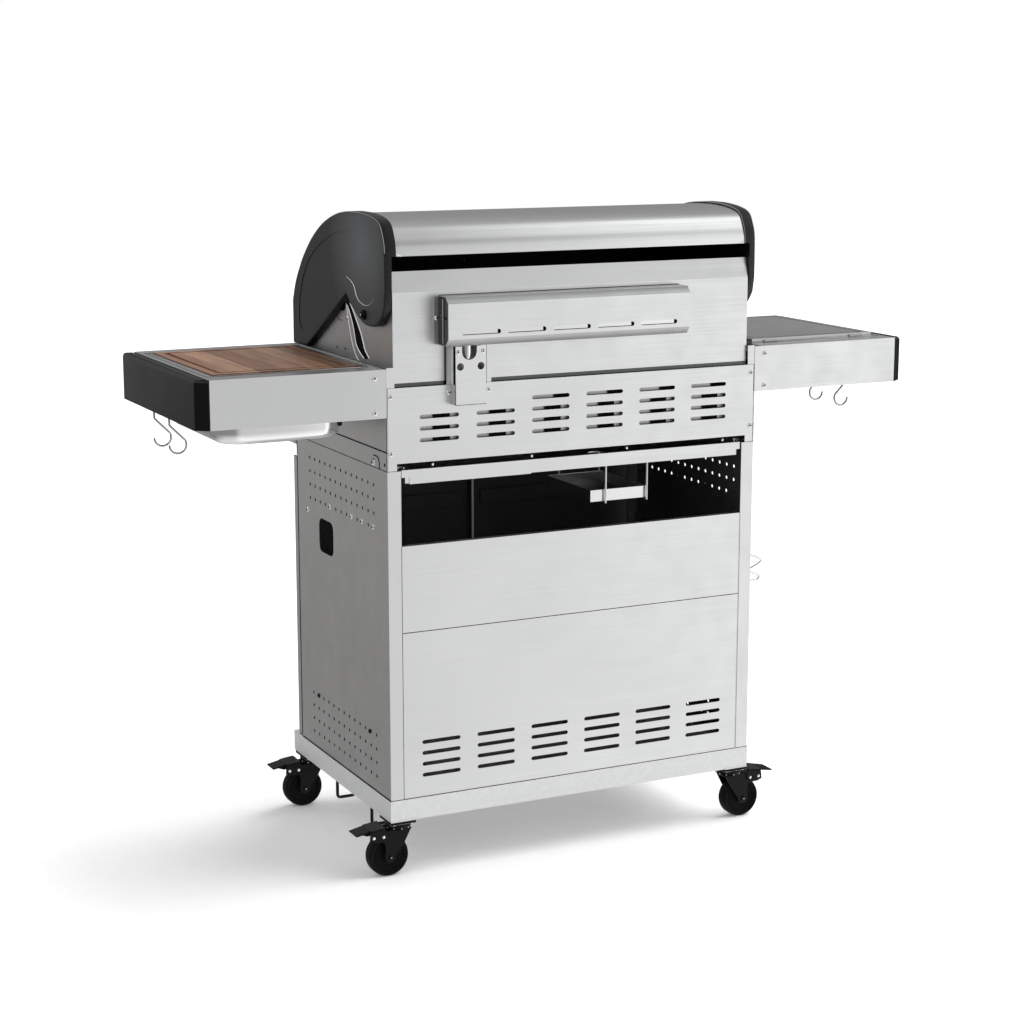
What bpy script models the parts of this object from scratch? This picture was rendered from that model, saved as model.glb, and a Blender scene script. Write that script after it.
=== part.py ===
"""A stainless-steel gas grill on a closed cabinet with two side shelves and four braked casters.

Metres, +Z up.  The origin is on the floor under the middle of the object.  +Y is the rear of the
grill, -Y is the cook's side, +X is the shelf with the chopping board and -X the side burner.
"""
import math

import bmesh
import bpy
from mathutils import Matrix, Vector

# ---------------------------------------------------------------- driving dimensions
SHEET = 0.0012            # cabinet sheet thickness
GAP = 0.0003              # clearance between pieces that touch
HALF_W = 0.365            # half the width of the cabinet
REAR = 0.240              # rear plane of the cabinet
FRONT = -0.200            # front edge of the frame that carries the firebox
PANEL_FRONT = -0.192      # front edge of the side panels
BASE_FRONT = -0.238       # front of the plinth
BASE_BOTTOM = 0.103       # caster height
BASE_TOP = 0.142
PANEL_TOP = 0.727
FRAME_TOP = 0.7595
SHELF_BOTTOM = 0.820
SHELF_TOP = 0.903
SHELF_FRONT = -0.184
SHELF_END = 0.6755        # outer face of a shelf's steel
SHELF_REACH = 0.6975      # outer face of a shelf's end cap
FIREBOX_HALF = 0.350
FIREBOX_FRONT = -0.190
FIREBOX_REAR = 0.232
BACK_SHEET = 0.2337       # rear face of the sheet behind the firebox
CAP_IN = 0.3515           # inner and outer faces of the lid's end castings
CAP_OUT = 0.364
RIM_IN = 0.3427           # how far a casting's rim reaches over the lid's steel
HINGE_Y = 0.1435          # lid pivot
HINGE_Z = 0.986
SLOT_LENGTH = 0.074
SLOT_HEIGHT = 0.007
SLOT_PITCH = 0.107
SLOT_ROW = 0.020
BURNER_X = (-0.2625, -0.0875, 0.0875, 0.2625)
KNOB_X = (-0.275, -0.165, -0.055, 0.055, 0.165, 0.275)
PANEL_SLOPE_TOP = (-0.2160, 0.8935)      # the control panel's face in Y and Z, top and bottom
PANEL_SLOPE_BOTTOM = (-0.2460, 0.7350)
WELL_X = (0.3925, 0.6545)  # recess in a shelf's top
WELL_Y = (-0.139, 0.188)
LEDGE_Z = 0.8882
PAN_X = (-0.1635, -0.0465)  # grease pan
PAN_Y = (0.029, 0.202)
CASTER_X = 0.342
CASTER_Y = (-0.206, 0.215)
CASTER_TRAIL = 0.022
WHEEL_R = 0.0375

for old in list(bpy.data.objects):
    bpy.data.objects.remove(old, do_unlink=True)

parts = bpy.data.collections.new("gas_grill")
cutters = bpy.data.collections.new("gas_grill_cutters")
bpy.context.scene.collection.children.link(parts)
bpy.context.scene.collection.children.link(cutters)


# ---------------------------------------------------------------- materials
def material(name, colour, roughness, metallic):
    made = bpy.data.materials.new(name)
    made.use_nodes = True
    shader = made.node_tree.nodes["Principled BSDF"]
    shader.inputs["Base Color"].default_value = (*colour, 1.0)
    shader.inputs["Roughness"].default_value = roughness
    shader.inputs["Metallic"].default_value = metallic
    return made


STEEL = material("brushed_stainless", (0.62, 0.63, 0.64), 0.34, 1.0)
DARK_STEEL = material("dull_stainless", (0.42, 0.42, 0.42), 0.42, 1.0)
CHROME = material("chrome_wire", (0.80, 0.81, 0.82), 0.10, 1.0)
CASTING = material("black_casting", (0.035, 0.036, 0.038), 0.45, 0.3)
PLASTIC = material("black_plastic", (0.02, 0.02, 0.022), 0.40, 0.0)
RUBBER = material("black_rubber", (0.025, 0.025, 0.026), 0.70, 0.0)
IRON = material("cast_iron", (0.03, 0.03, 0.03), 0.65, 0.6)
WALNUT = material("walnut", (0.30, 0.14, 0.07), 0.50, 0.0)


# ---------------------------------------------------------------- modelling helpers
def place(name, mesh, look=None):
    """A finished piece; with no look it is a cutter or a shape to be joined to a piece."""
    obj = bpy.data.objects.new(name, mesh)
    if look is None:
        cutters.objects.link(obj)
        obj.hide_render = True
        obj.display_type = "WIRE"
    else:
        parts.objects.link(obj)
        mesh.materials.clear()
        mesh.materials.append(look)
    return obj


def mesh_of(build, name="shape"):
    bm = bmesh.new()
    build(bm)
    bmesh.ops.recalc_face_normals(bm, faces=bm.faces)
    mesh = bpy.data.meshes.new(name)
    bm.to_mesh(mesh)
    bm.free()
    return mesh


def box(name, low, high, look=None):
    """A box between two corners."""
    return boxes(name, [(low, high)], look)


def boxes(name, corners, look=None):
    """Several boxes in one mesh: a group of cutters, or of shapes for one union."""
    def build(bm):
        for low, high in corners:
            centre = [(a + b) / 2 for a, b in zip(low, high)]
            size = [b - a for a, b in zip(low, high)]
            matrix = Matrix.Translation(centre) @ Matrix.Diagonal((*size, 1.0))
            bmesh.ops.create_cube(bm, size=1.0, matrix=matrix)
    return place(name, mesh_of(build, name), look)


TO_AXIS = {
    "X": Matrix(((0, 0, 1), (1, 0, 0), (0, 1, 0))).to_4x4(),
    "Y": Matrix(((1, 0, 0), (0, 0, -1), (0, 1, 0))).to_4x4(),
    "Z": Matrix.Identity(4),
}


def rods(name, axis, ends, look=None, sides=16):
    """Cylinders along one axis: each of ends is (centre of one end, radius, length)."""
    def build(bm):
        along = {"X": Vector((1, 0, 0)), "Y": Vector((0, 1, 0)), "Z": Vector((0, 0, 1))}[axis]
        for start, radius, length in ends:
            middle = Matrix.Translation(Vector(start) + along * length / 2)
            bmesh.ops.create_cone(
                bm, cap_ends=True, segments=sides, radius1=radius, radius2=radius, depth=length,
                matrix=middle @ TO_AXIS[axis],
            )
    return place(name, mesh_of(build, name), look)


def baked(obj):
    """The object's evaluated mesh, with curve caps welded and normals facing out."""
    graph = bpy.context.evaluated_depsgraph_get()
    mesh = bpy.data.meshes.new_from_object(obj.evaluated_get(graph))
    bm = bmesh.new()
    bm.from_mesh(mesh)
    bmesh.ops.remove_doubles(bm, verts=bm.verts, dist=0.00001)
    bmesh.ops.recalc_face_normals(bm, faces=bm.faces)
    bm.to_mesh(mesh)
    bm.free()
    return mesh


def mesh_from_curve(curve):
    """Turns curve data into a welded mesh and removes the curve."""
    helper = bpy.data.objects.new("outline", curve)
    bpy.context.scene.collection.objects.link(helper)
    mesh = baked(helper)
    bpy.data.objects.remove(helper, do_unlink=True)
    bpy.data.curves.remove(curve)
    return mesh


def prisms(name, axis, outlines, low, high, look=None):
    """Flat outlines extruded along an axis.  They are (Y, Z) for X, (X, Z) for Y and (X, Y) for Z."""
    curve = bpy.data.curves.new(name, "CURVE")
    curve.dimensions = "2D"
    curve.fill_mode = "BOTH"
    curve.extrude = (high - low) / 2
    for outline in outlines:
        spline = curve.splines.new("POLY")
        spline.points.add(len(outline) - 1)
        for point, (u, v) in zip(spline.points, outline):
            point.co = (u, v, 0, 1)
        spline.use_cyclic_u = True
    mesh = mesh_from_curve(curve)
    mesh.transform(TO_AXIS[axis])
    along = {"X": (1, 0, 0), "Y": (0, 1, 0), "Z": (0, 0, 1)}[axis]
    mesh.transform(Matrix.Translation(Vector(along) * (low + high) / 2))
    return place(name, flipped_out(mesh), look)


def flipped_out(mesh):
    bm = bmesh.new()
    bm.from_mesh(mesh)
    bmesh.ops.recalc_face_normals(bm, faces=bm.faces)
    bm.to_mesh(mesh)
    bm.free()
    return mesh


def prism(name, axis, outline, low, high, look=None):
    return prisms(name, axis, [outline], low, high, look)


def wires(name, paths, radius, look=None):
    """Round wires along polylines."""
    curve = bpy.data.curves.new(name, "CURVE")
    curve.dimensions = "3D"
    curve.bevel_depth = radius
    curve.bevel_resolution = 2
    curve.use_fill_caps = True
    for path in paths:
        spline = curve.splines.new("POLY")
        spline.points.add(len(path) - 1)
        for point, co in zip(spline.points, path):
            point.co = (*co, 1)
    return place(name, mesh_from_curve(curve), look)


def turned(name, profile, sides=20, look=None):
    """A closed (radius, height) profile spun round Z with a Screw modifier."""
    mesh = bpy.data.meshes.new(name)
    count = len(profile)
    edges = [(i, (i + 1) % count) for i in range(count)]
    mesh.from_pydata([(r, 0, z) for r, z in profile], edges, [])
    helper = bpy.data.objects.new("profile", mesh)
    bpy.context.scene.collection.objects.link(helper)
    screw = helper.modifiers.new("turn", "SCREW")
    screw.steps = sides
    screw.render_steps = sides
    screw.use_merge_vertices = True
    screw.merge_threshold = 0.00001
    spun = baked(helper)
    bpy.data.objects.remove(helper, do_unlink=True)
    return place(name, spun, look)


def combine(obj, other, operation):
    modifier = obj.modifiers.new(other.name, "BOOLEAN")
    modifier.operation = operation
    modifier.object = other
    modifier.solver = "EXACT"
    return obj


def cut(obj, *others):
    for other in others:
        combine(obj, other, "DIFFERENCE")
    return obj


def join(obj, *others):
    for other in others:
        combine(obj, other, "UNION")
    return obj


def join_boxes(obj, name, corners):
    """Joins boxes that may overlap each other, one at a time."""
    for index, (low, high) in enumerate(corners):
        join(obj, box(f"{name}_{index}", low, high))
    return obj


def pivot(obj, point):
    """Moves an object's origin to a point on its joint axis and leaves its shape where it is."""
    obj.data.transform(Matrix.Translation(-Vector(point)))
    obj.location = point
    return obj


def finished_mesh(obj):
    """The mesh of a piece with its Booleans applied, for pieces that are copied."""
    mesh = baked(obj)
    helpers = [modifier.object for modifier in obj.modifiers if modifier.type == "BOOLEAN"]
    for helper in [obj, *helpers]:
        bpy.data.objects.remove(helper, do_unlink=True)
    return mesh


def rounded(u0, v0, u1, v1, radius, steps=3):
    """A rectangle with round corners."""
    points = []
    corners = ((u1, v1, 0), (u0, v1, 90), (u0, v0, 180), (u1, v0, 270))
    for u, v, start in corners:
        centre_u = u - math.copysign(radius, u - (u0 + u1) / 2)
        centre_v = v - math.copysign(radius, v - (v0 + v1) / 2)
        for step in range(steps + 1):
            angle = math.radians(start + 90 * step / steps)
            points.append((centre_u + radius * math.cos(angle), centre_v + radius * math.sin(angle)))
    return points


def arc(centre_u, centre_v, radius, start, end, steps):
    """Points along an arc, in degrees."""
    points = []
    for step in range(steps + 1):
        angle = math.radians(start + (end - start) * step / steps)
        points.append((centre_u + radius * math.cos(angle), centre_v + radius * math.sin(angle)))
    return points


def smooth(points, steps):
    """A Catmull-Rom curve through points, with the first and last repeated."""
    padded = [points[0], *points, points[-1]]
    curve = []
    for p0, p1, p2, p3 in zip(padded, padded[1:], padded[2:], padded[3:]):
        for step in range(steps):
            t = step / steps
            curve.append(tuple(
                0.5 * (2 * b + (c - a) * t + (2 * a - 5 * b + 4 * c - d) * t * t
                       + (3 * b - a - 3 * c + d) * t ** 3)
                for a, b, c, d in zip(p0, p1, p2, p3)
            ))
    curve.append(points[-1])
    return curve


def inset(points, distance):
    """An open line of points moved sideways, to the left of its direction."""
    moved = []
    for index, (u, v) in enumerate(points):
        before = points[max(index - 1, 0)]
        after = points[min(index + 1, len(points) - 1)]
        du = after[0] - before[0]
        dv = after[1] - before[1]
        length = math.hypot(du, dv)
        moved.append((u - dv / length * distance, v + du / length * distance))
    return moved


def slot_cutter(name, columns, rows, y_low, y_high, missing=()):
    """Round-ended louvre slots through a rear sheet, as one cutter."""
    outlines = []
    for column, x in enumerate(columns):
        for row, z in enumerate(rows):
            if (column, row) in missing:
                continue
            half = SLOT_LENGTH / 2
            end = SLOT_HEIGHT / 2
            outlines.append(rounded(x - half, z - end, x + half, z + end, end * 0.999, 2))
    return prisms(name, "Y", outlines, y_low, y_high)


# ---------------------------------------------------------------- cabinet
def base_tray():
    """The plinth: a closed top, a wide inward flange under it, caster plates and two wire stays."""
    wall = 0.0015
    tray = box("base_tray", (-0.366, BASE_FRONT, BASE_BOTTOM), (0.366, REAR, BASE_TOP), STEEL)
    hollow = box("base_hollow", (-0.366 + wall, BASE_FRONT + wall, BASE_BOTTOM + wall),
                 (0.366 - wall, REAR - wall, BASE_TOP - wall))
    opening = box("base_opening", (-0.290, -0.165, 0.095), (0.290, 0.165, 0.110))
    plates = boxes("caster_plates", [
        ((side * CASTER_X - 0.0235, y - 0.0265, 0.0975), (side * CASTER_X + 0.0235, y + 0.0265, 0.1045))
        for side in (-1, 1) for y in CASTER_Y
    ])
    stays = [[(0.3360, y, 0.1037), (0.3360, y, 0.0520), (0.3345, y, 0.0470), (0.3300, y, 0.0450),
              (0.3060, y, 0.0450), (0.3015, y, 0.0470), (0.3000, y, 0.0520), (0.3000, y, 0.1037)]
             for y in (-0.090, 0.080)]
    cut(tray, hollow, opening)
    join(tray, plates, wires("under_stays", stays, 0.0028))


def side_panel(name, side):
    """One sheet folded round the cabinet's corners, with a hand hole or with two wire loops."""
    x = HALF_W
    outline = [(x - 0.020, PANEL_FRONT), (x, PANEL_FRONT), (x, REAR), (x - 0.025, REAR),
               (x - 0.025, REAR - SHEET), (x - SHEET, REAR - SHEET),
               (x - SHEET, PANEL_FRONT + SHEET), (x - 0.020, PANEL_FRONT + SHEET)]
    outline = [(side * u, v) for u, v in outline]
    panel = prism(name, "Z", outline, BASE_TOP + GAP, PANEL_TOP, DARK_STEEL)
    if side > 0:
        hole = rounded(-0.087, 0.528, -0.016, 0.591, 0.014)
        cut(panel, prism("hand_hole", "X", hole, x - 0.01, x + 0.01))
    else:
        upper = [(-0.3643, 0.190, 0.5110), (-0.4120, 0.190, 0.4945), (-0.4220, 0.190, 0.4900),
                 (-0.4225, 0.190, 0.4855), (-0.4140, 0.190, 0.4815), (-0.3643, 0.190, 0.4610)]
        lower = [(-0.3643, 0.183, 0.4755), (-0.3980, 0.183, 0.4665), (-0.4185, 0.183, 0.4590),
                 (-0.4225, 0.183, 0.4545), (-0.4185, 0.183, 0.4495), (-0.4020, 0.183, 0.4488),
                 (-0.3643, 0.183, 0.4625)]
        join(panel, wires("holder_upper", [upper], 0.002), wires("holder_lower", [lower], 0.002))


def rear_panels():
    """Upper and lower sheets between the rear posts, with an open gap left above them."""
    half = 0.3395
    outer = REAR - GAP
    inner = outer - SHEET
    upper = [(outer, 0.4423), (outer, 0.5955), (outer - 0.013, 0.5955), (outer - 0.013, 0.5943),
             (inner, 0.5943), (inner, 0.4423)]
    prism("rear_panel_upper", "X", upper, -half, half, STEEL)
    lower = box("rear_panel_lower", (-half, inner, BASE_TOP + GAP), (half, outer, 0.4417), STEEL)
    columns = [SLOT_PITCH * (index - 2.5) for index in range(6)]
    rows = [0.242 - SLOT_ROW * index for index in range(4)]
    cut(lower, slot_cutter("lower_slots", columns, rows, REAR - 0.01, REAR + 0.01))


def rear_vent_cover():
    """The slotted sheet behind the bottom of the firebox; two legs reach down to the posts."""
    outline = [(-0.363, 0.728), (-0.347, 0.728), (-0.347, 0.740), (0.347, 0.740),
               (0.347, 0.728), (0.363, 0.728), (0.363, 0.870), (-0.363, 0.870)]
    cover = prism("rear_vent_cover", "Y", outline, REAR - GAP - 0.0014, REAR - GAP, STEEL)
    columns = [SLOT_PITCH * (2.5 - index) for index in range(6)]
    rows = [0.838 - SLOT_ROW * index for index in range(4)]
    slots = slot_cutter("vent_slots", columns, rows, REAR - 0.01, REAR + 0.01, {(0, 0), (1, 0)})
    cut(cover, slots)


def top_frame():
    """The rectangular frame that carries the firebox, with its aprons and drip tray ledges."""
    wall = 0.0015
    outer_rear = REAR - 0.002
    frame = box("top_frame", (-HALF_W, FRONT, PANEL_TOP + 0.0005), (HALF_W, outer_rear, FRAME_TOP),
                DARK_STEEL)
    hollow = box("frame_hollow", (-HALF_W + wall, FRONT + wall, 0.700),
                 (HALF_W - wall, outer_rear - wall, FRAME_TOP - wall))
    middle = box("frame_middle", (-0.335, -0.175, 0.740), (0.335, 0.215, 0.780))
    mouth = box("tray_mouth", (-0.347, 0.230, 0.700), (0.347, 0.245, 0.7412))
    ledges = boxes("tray_ledges", [
        ((0.3375, -0.190, 0.7285), (0.3640, 0.225, 0.7300)),
        ((-0.3640, -0.190, 0.7285), (-0.3375, 0.225, 0.7300)),
    ])
    header = box("front_header", (-0.3642, FRONT + 0.0002, 0.690), (0.3642, FRONT + 0.0014, 0.729))
    cut(frame, hollow, middle, mouth)
    join(frame, ledges, header)
    for side in (-1, 1):
        outline = [(0.3622, 0.7585), (0.3634, 0.7585), (0.3634, 0.8960), (0.3515, 0.8960),
                   (0.3515, 0.8948), (0.3622, 0.8948)]
        outline = [(side * u, v) for u, v in outline]
        join(frame, prism(f"apron_{side}", "Y", outline, FRONT + 0.002, outer_rear - 0.0003))


# ---------------------------------------------------------------- firebox
def firebox():
    """Four walls with raised sides, ledges for the burners, grates and rack, and the lid's pins."""
    side_view = [(FIREBOX_FRONT, FRAME_TOP + GAP), (FIREBOX_FRONT, 0.893), (-0.175, 0.893),
                 (0.045, 1.022), (0.070, 1.030), (FIREBOX_REAR, 1.030),
                 (FIREBOX_REAR, FRAME_TOP + GAP)]
    shell = prism("firebox", "X", side_view, -FIREBOX_HALF, FIREBOX_HALF, DARK_STEEL)
    wall = 0.0025
    inside = FIREBOX_HALF - wall
    hollow = box("firebox_hollow", (-inside, FIREBOX_FRONT + wall, 0.70),
                 (inside, FIREBOX_REAR - wall, 1.10))
    necks = rods("neck_holes", "Y", [((x, -0.200, 0.805), 0.0137, 0.020) for x in BURNER_X])
    window = box("firebox_window", (-0.175, 0.220, 0.952), (0.237, 0.240, 0.998))
    rim = inside + 0.0005
    ledges = boxes("firebox_ledges", [
        ((-rim, FIREBOX_FRONT + 0.002, z), (rim, FIREBOX_FRONT + 0.014, z + 0.002))
        for z in (0.8380, 0.8820)
    ] + [
        ((-rim, 0.2185, z), (rim, 0.2300, z + 0.002)) for z in (0.8380, 0.8820)
    ])
    rests = boxes("rack_rests", [
        ((side * 0.3455 - 0.0025, 0.120, 0.9780), (side * 0.3455 + 0.0025, 0.210, 0.9800))
        for side in (-1, 1)
    ])
    pins = rods("hinge_pins", "X", [((0.3490, HINGE_Y, HINGE_Z), 0.004, 0.0160),
                                    ((-0.3650, HINGE_Y, HINGE_Z), 0.004, 0.0160)], sides=12)
    heads = rods("hinge_heads", "X", [((CAP_OUT + GAP, HINGE_Y, HINGE_Z), 0.008, 0.004),
                                      ((-CAP_OUT - GAP - 0.004, HINGE_Y, HINGE_Z), 0.008, 0.004)],
                 sides=12)
    cut(shell, hollow, necks, window)
    join(shell, ledges, rests, pins, heads)


def firebox_back():
    """The plain sheet behind the firebox; its top leans forward under the lid."""
    outline = [(BACK_SHEET - 0.0014, 0.8770), (BACK_SHEET, 0.8770), (BACK_SHEET, 1.0300),
               (BACK_SHEET - 0.0075, 1.0650), (BACK_SHEET - 0.0089, 1.0650),
               (BACK_SHEET - 0.0014, 1.0297)]
    sheet = prism("firebox_back", "X", outline, -FIREBOX_HALF, FIREBOX_HALF, STEEL)
    cut(sheet, box("back_window", (-0.175, 0.225, 0.952), (0.237, 0.240, 0.998)))


def rear_burner():
    """The back burner, its box-shaped cover and the bracket that holds its gas inlet."""
    left, right = -0.205, 0.265
    base = BACK_SHEET + GAP
    nose = 0.2745             # stays inside the path of the lid's rear edge
    outer = [(base, 0.9385), (0.2650, 0.9385), (nose, 0.9515), (nose, 1.0115),
             (0.2650, 1.0225), (base, 1.0225)]
    inner = [(base - 0.005, 0.9397), (0.2645, 0.9397), (nose - SHEET, 0.9520),
             (nose - SHEET, 1.0110), (0.2645, 1.0213), (base - 0.005, 1.0213)]
    cover = prism("rear_burner_cover", "X", outer, left, right, STEEL)
    hollow = prism("cover_hollow", "X", inner, left + SHEET, right - SHEET)
    columns = [0.0310 + 0.0866 * (index - 2) for index in range(5)]
    slots = slot_cutter("cover_slots", columns, [0.9615], 0.270, 0.290)
    pipe_x = 0.219
    pipe_y = 0.2475
    hole = rods("pipe_hole", "Z", [((pipe_x, pipe_y, 0.930), 0.0095, 0.015)])
    cut(cover, hollow, slots, hole)

    burner = box("rear_burner", (-0.185, base + 0.0020, 0.9430), (0.245, 0.2600, 1.0130), IRON)
    cut(burner, box("burner_face", (-0.175, base - 0.002, 0.9520), (0.235, 0.2400, 1.0000)))
    join(burner, rods("inlet_pipe", "Z", [((pipe_x, pipe_y, 0.885), 0.008, 0.060)]))

    hat = [(0.1680, 0.2362), (0.1882, 0.2362), (0.1882, 0.2570), (0.2438, 0.2570),
           (0.2438, 0.2362), (0.2540, 0.2362), (0.2540, 0.2374), (0.2450, 0.2374),
           (0.2450, 0.2582), (0.1870, 0.2582), (0.1870, 0.2374), (0.1680, 0.2374)]
    bracket = prism("rear_burner_bracket", "Z", hat, 0.8360, 0.9380, STEEL)
    behind_cover = box("bracket_step", (0.160, 0.2376, 0.830), (0.260, REAR + 0.0002, 0.8704))
    below_tabs = box("bracket_tabs", (0.160, 0.2300, 0.830), (0.260, 0.2380, 0.8450))
    notch = prism("bracket_notch", "Y", arc(pipe_x, 0.927, 0.014, 180, 360, 6)
                  + [(pipe_x + 0.014, 0.950), (pipe_x - 0.014, 0.950)], 0.250, 0.265)
    holes = rods("bracket_holes", "Y", [((0.2360, 0.250, 0.902), 0.0066, 0.015),
                                        ((0.1975, 0.250, 0.902), 0.0066, 0.015)], sides=12)
    cut(bracket, behind_cover, below_tabs, notch, holes)


def burners():
    """Four tube burners joined by a cross-lighting channel, and the shields over them."""
    tubes = rods("burners", "Y", [((BURNER_X[0], -0.1745, 0.805), 0.0165, 0.3745)], DARK_STEEL)
    join(tubes, rods("burner_tubes", "Y", [((x, -0.1745, 0.805), 0.0165, 0.3745)
                                           for x in BURNER_X[1:]]))
    join(tubes, rods("burner_necks", "Y", [((x, -0.1970, 0.805), 0.0125, 0.030)
                                           for x in BURNER_X], sides=12))
    join(tubes, box("cross_lighter", (BURNER_X[0], 0.194, 0.798), (BURNER_X[3], 0.206, 0.812)))

    def roof(x):
        return [(x - 0.055, 0.8405), (x, 0.8700), (x + 0.055, 0.8405), (x + 0.055, 0.8425),
                (x, 0.8722), (x - 0.055, 0.8425)]
    rails = boxes("shield_rails", [((-0.330, 0.2186, 0.8405), (0.330, 0.2290, 0.8420))])
    shields = box("flame_tamers", (-0.330, -0.1870, 0.8405), (0.330, -0.1770, 0.8420), DARK_STEEL)
    join(shields, prisms("roofs", "Y", [roof(x) for x in BURNER_X], -0.1865, 0.2285), rails)


def grates():
    """Two cast-iron cooking grates and the warming rack above them."""
    for name, left in (("grate_left", 0.0015), ("grate_right", -0.3465)):
        right = left + 0.345
        grate = box(name, (left, -0.1860, 0.8845), (right, 0.2285, 0.8945), IRON)
        pitch = 0.0205
        slots = [((left + 0.012 + pitch * index, -0.172, 0.880),
                  (left + 0.025 + pitch * index, 0.2145, 0.900)) for index in range(16)]
        cut(grate, boxes(f"{name}_slots", slots))
    rack = box("warming_rack", (-0.3465, 0.1220, 0.9803), (0.3465, 0.2080, 0.9833), CHROME)
    slots = [((-0.337, 0.128 + 0.0155 * index, 0.970), (0.337, 0.138 + 0.0155 * index, 0.990))
             for index in range(5)]
    cut(rack, boxes("rack_slots", slots))


def drip_tray():
    """The tray under the burners, with a pull lip at the rear and wire loops for the grease pan."""
    tray = box("drip_tray", (-0.331, -0.170, 0.7045), (0.331, 0.2365, 0.7318), STEEL)
    hollow = box("tray_hollow", (-0.3295, -0.1685, 0.7060), (0.3295, 0.2350, 0.7500))
    low_rear = box("tray_low_rear", (-0.400, 0.2300, 0.7280), (0.400, 0.2400, 0.7400))
    drain_x = sum(PAN_X) / 2
    drain_y = sum(PAN_Y) / 2
    drain = rods("tray_drain", "Z", [((drain_x, drain_y, 0.700), 0.018, 0.010)])
    loops = []
    for x in (PAN_X[1] - 0.0285, PAN_X[0] + 0.0035):
        loops.append([(x, PAN_Y[1] + 0.0045, 0.7052), (x, PAN_Y[1] + 0.0045, 0.6315),
                      (x, PAN_Y[0] - 0.0045, 0.6315), (x, PAN_Y[0] - 0.0045, 0.7052)])
    cut(tray, hollow, low_rear, drain)
    join_boxes(tray, "tray_flanges", [
        ((0.3305, -0.170, 0.7303), (0.3450, 0.222, 0.7318)),
        ((-0.3450, -0.170, 0.7303), (-0.3305, 0.222, 0.7318)),
        ((-0.338, 0.2363, 0.7150), (0.338, 0.2376, 0.7280)),
        ((0.091, 0.2364, 0.7030), (0.323, 0.2375, 0.7155)),
    ])
    join(tray, wires("pan_loops", loops, 0.002))
    pivot(tray, (0, 0.2365, 0.718))

    pan = box("catch_pan", (PAN_X[0], PAN_Y[0], 0.6340), (PAN_X[1], PAN_Y[1], 0.6550), STEEL)
    cut(pan, box("pan_hollow", (PAN_X[0] + 0.001, PAN_Y[0] + 0.001, 0.6350),
                 (PAN_X[1] - 0.001, PAN_Y[1] - 0.001, 0.6700)))
    pivot(pan, (drain_x, drain_y, 0.634))


# ---------------------------------------------------------------- front
def doors():
    """Two folded doors on vertical pivots, each with a bent bar handle."""
    for name, side in (("left", 1), ("right", -1)):
        hinge = (side * 0.3565, -0.2063, 0.143)
        span = sorted((side * 0.0015, side * 0.3645))
        door = box(f"door_{name}", (span[0], -0.2140, 0.1430), (span[1], -0.1985, 0.6870), STEEL)
        cut(door, box(f"door_{name}_hollow", (span[0] + SHEET, -0.2128, 0.1442),
                      (span[1] - SHEET, -0.1900, 0.6858)))
        pivot(door, hinge)
        x = side * 0.045
        face = -0.2140 - GAP
        path = [(x, face, 0.455), (x, -0.232, 0.455), (x, -0.240, 0.459), (x, -0.243, 0.467),
                (x, -0.243, 0.613), (x, -0.240, 0.621), (x, -0.232, 0.625), (x, face, 0.625)]
        pivot(wires(f"door_handle_{name}", [path], 0.006, STEEL), hinge)


def panel_point(z):
    """The point of the control panel's sloping face at a height, and the face's outward normal."""
    top_y, top_z = PANEL_SLOPE_TOP
    low_y, low_z = PANEL_SLOPE_BOTTOM
    share = (top_z - z) / (top_z - low_z)
    normal = Vector((0, low_z - top_z, top_y - low_y)).normalized()
    return top_y + (low_y - top_y) * share, normal


def control_panel():
    """The sloping fascia, the knobs on it, and the gas manifold with its valves behind it."""
    outline = [(-0.2020, 0.8935), PANEL_SLOPE_TOP, PANEL_SLOPE_BOTTOM, (-0.2400, 0.7100),
               (-0.2020, 0.7100)]
    panel = prism("control_panel", "X", outline, -0.3645, 0.3645, STEEL)
    inner = [(-0.1900, 0.8920), (-0.2148, 0.8920), (-0.2444, 0.7353), (-0.2388, 0.7115),
             (-0.1900, 0.7115)]
    hollow = prism("panel_hollow", "X", inner, -0.3630, 0.3630)
    knob_z = 0.815
    face_y, normal = panel_point(knob_z)
    turn = normal.to_track_quat("Z", "X").to_matrix().to_4x4()

    def bores(bm):
        for x in KNOB_X:
            matrix = Matrix.Translation((x, face_y, knob_z)) @ turn
            bmesh.ops.create_cone(bm, cap_ends=True, segments=12, radius1=0.0062, radius2=0.0062,
                                  depth=0.020, matrix=matrix)
    cut(panel, hollow, place("knob_bores", mesh_of(bores)))

    profile = [(0.0, -0.0040), (0.0045, -0.0040), (0.0045, GAP), (0.0240, GAP), (0.0235, 0.0050),
               (0.0195, 0.0080), (0.0180, 0.0260), (0.0160, 0.0280), (0.0, 0.0280)]
    knob = turned("knob_form", profile, 16)
    grip = box("knob_grip", (-0.0035, -0.0210, 0.0060), (0.0035, 0.0210, 0.0300))
    join(knob, grip)
    shared = finished_mesh(knob)
    for index, x in enumerate(KNOB_X, start=1):
        copy = place(f"knob_{index}", shared, PLASTIC)
        copy.matrix_world = Matrix.Translation((x, face_y, knob_z)) @ turn

    manifold = rods("gas_manifold", "X", [((-0.320, -0.2080, 0.7900), 0.009, 0.640)], IRON)
    valves = boxes("valves", [((x - 0.010, -0.2250, 0.7950), (x + 0.010, -0.2000, 0.8300))
                              for x in KNOB_X])
    join(manifold, valves)


# ---------------------------------------------------------------- lid
def lid_line():
    """The lid's outer line in Y and Z, from the lower rear edge over the top to the lower front."""
    points = [(0.2362, 1.0300), (0.2355, 1.0908), (0.2285, 1.1230), (0.2050, 1.1490),
              (0.1300, 1.1590), (0.0370, 1.1548), (-0.0352, 1.1367), (-0.0893, 1.1112),
              (-0.1315, 1.0810), (-0.1645, 1.0495), (-0.1900, 1.0168), (-0.2065, 0.9820),
              (-0.2070, 0.9010)]
    return smooth(points[:-1], 3) + [points[-1]]


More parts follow.
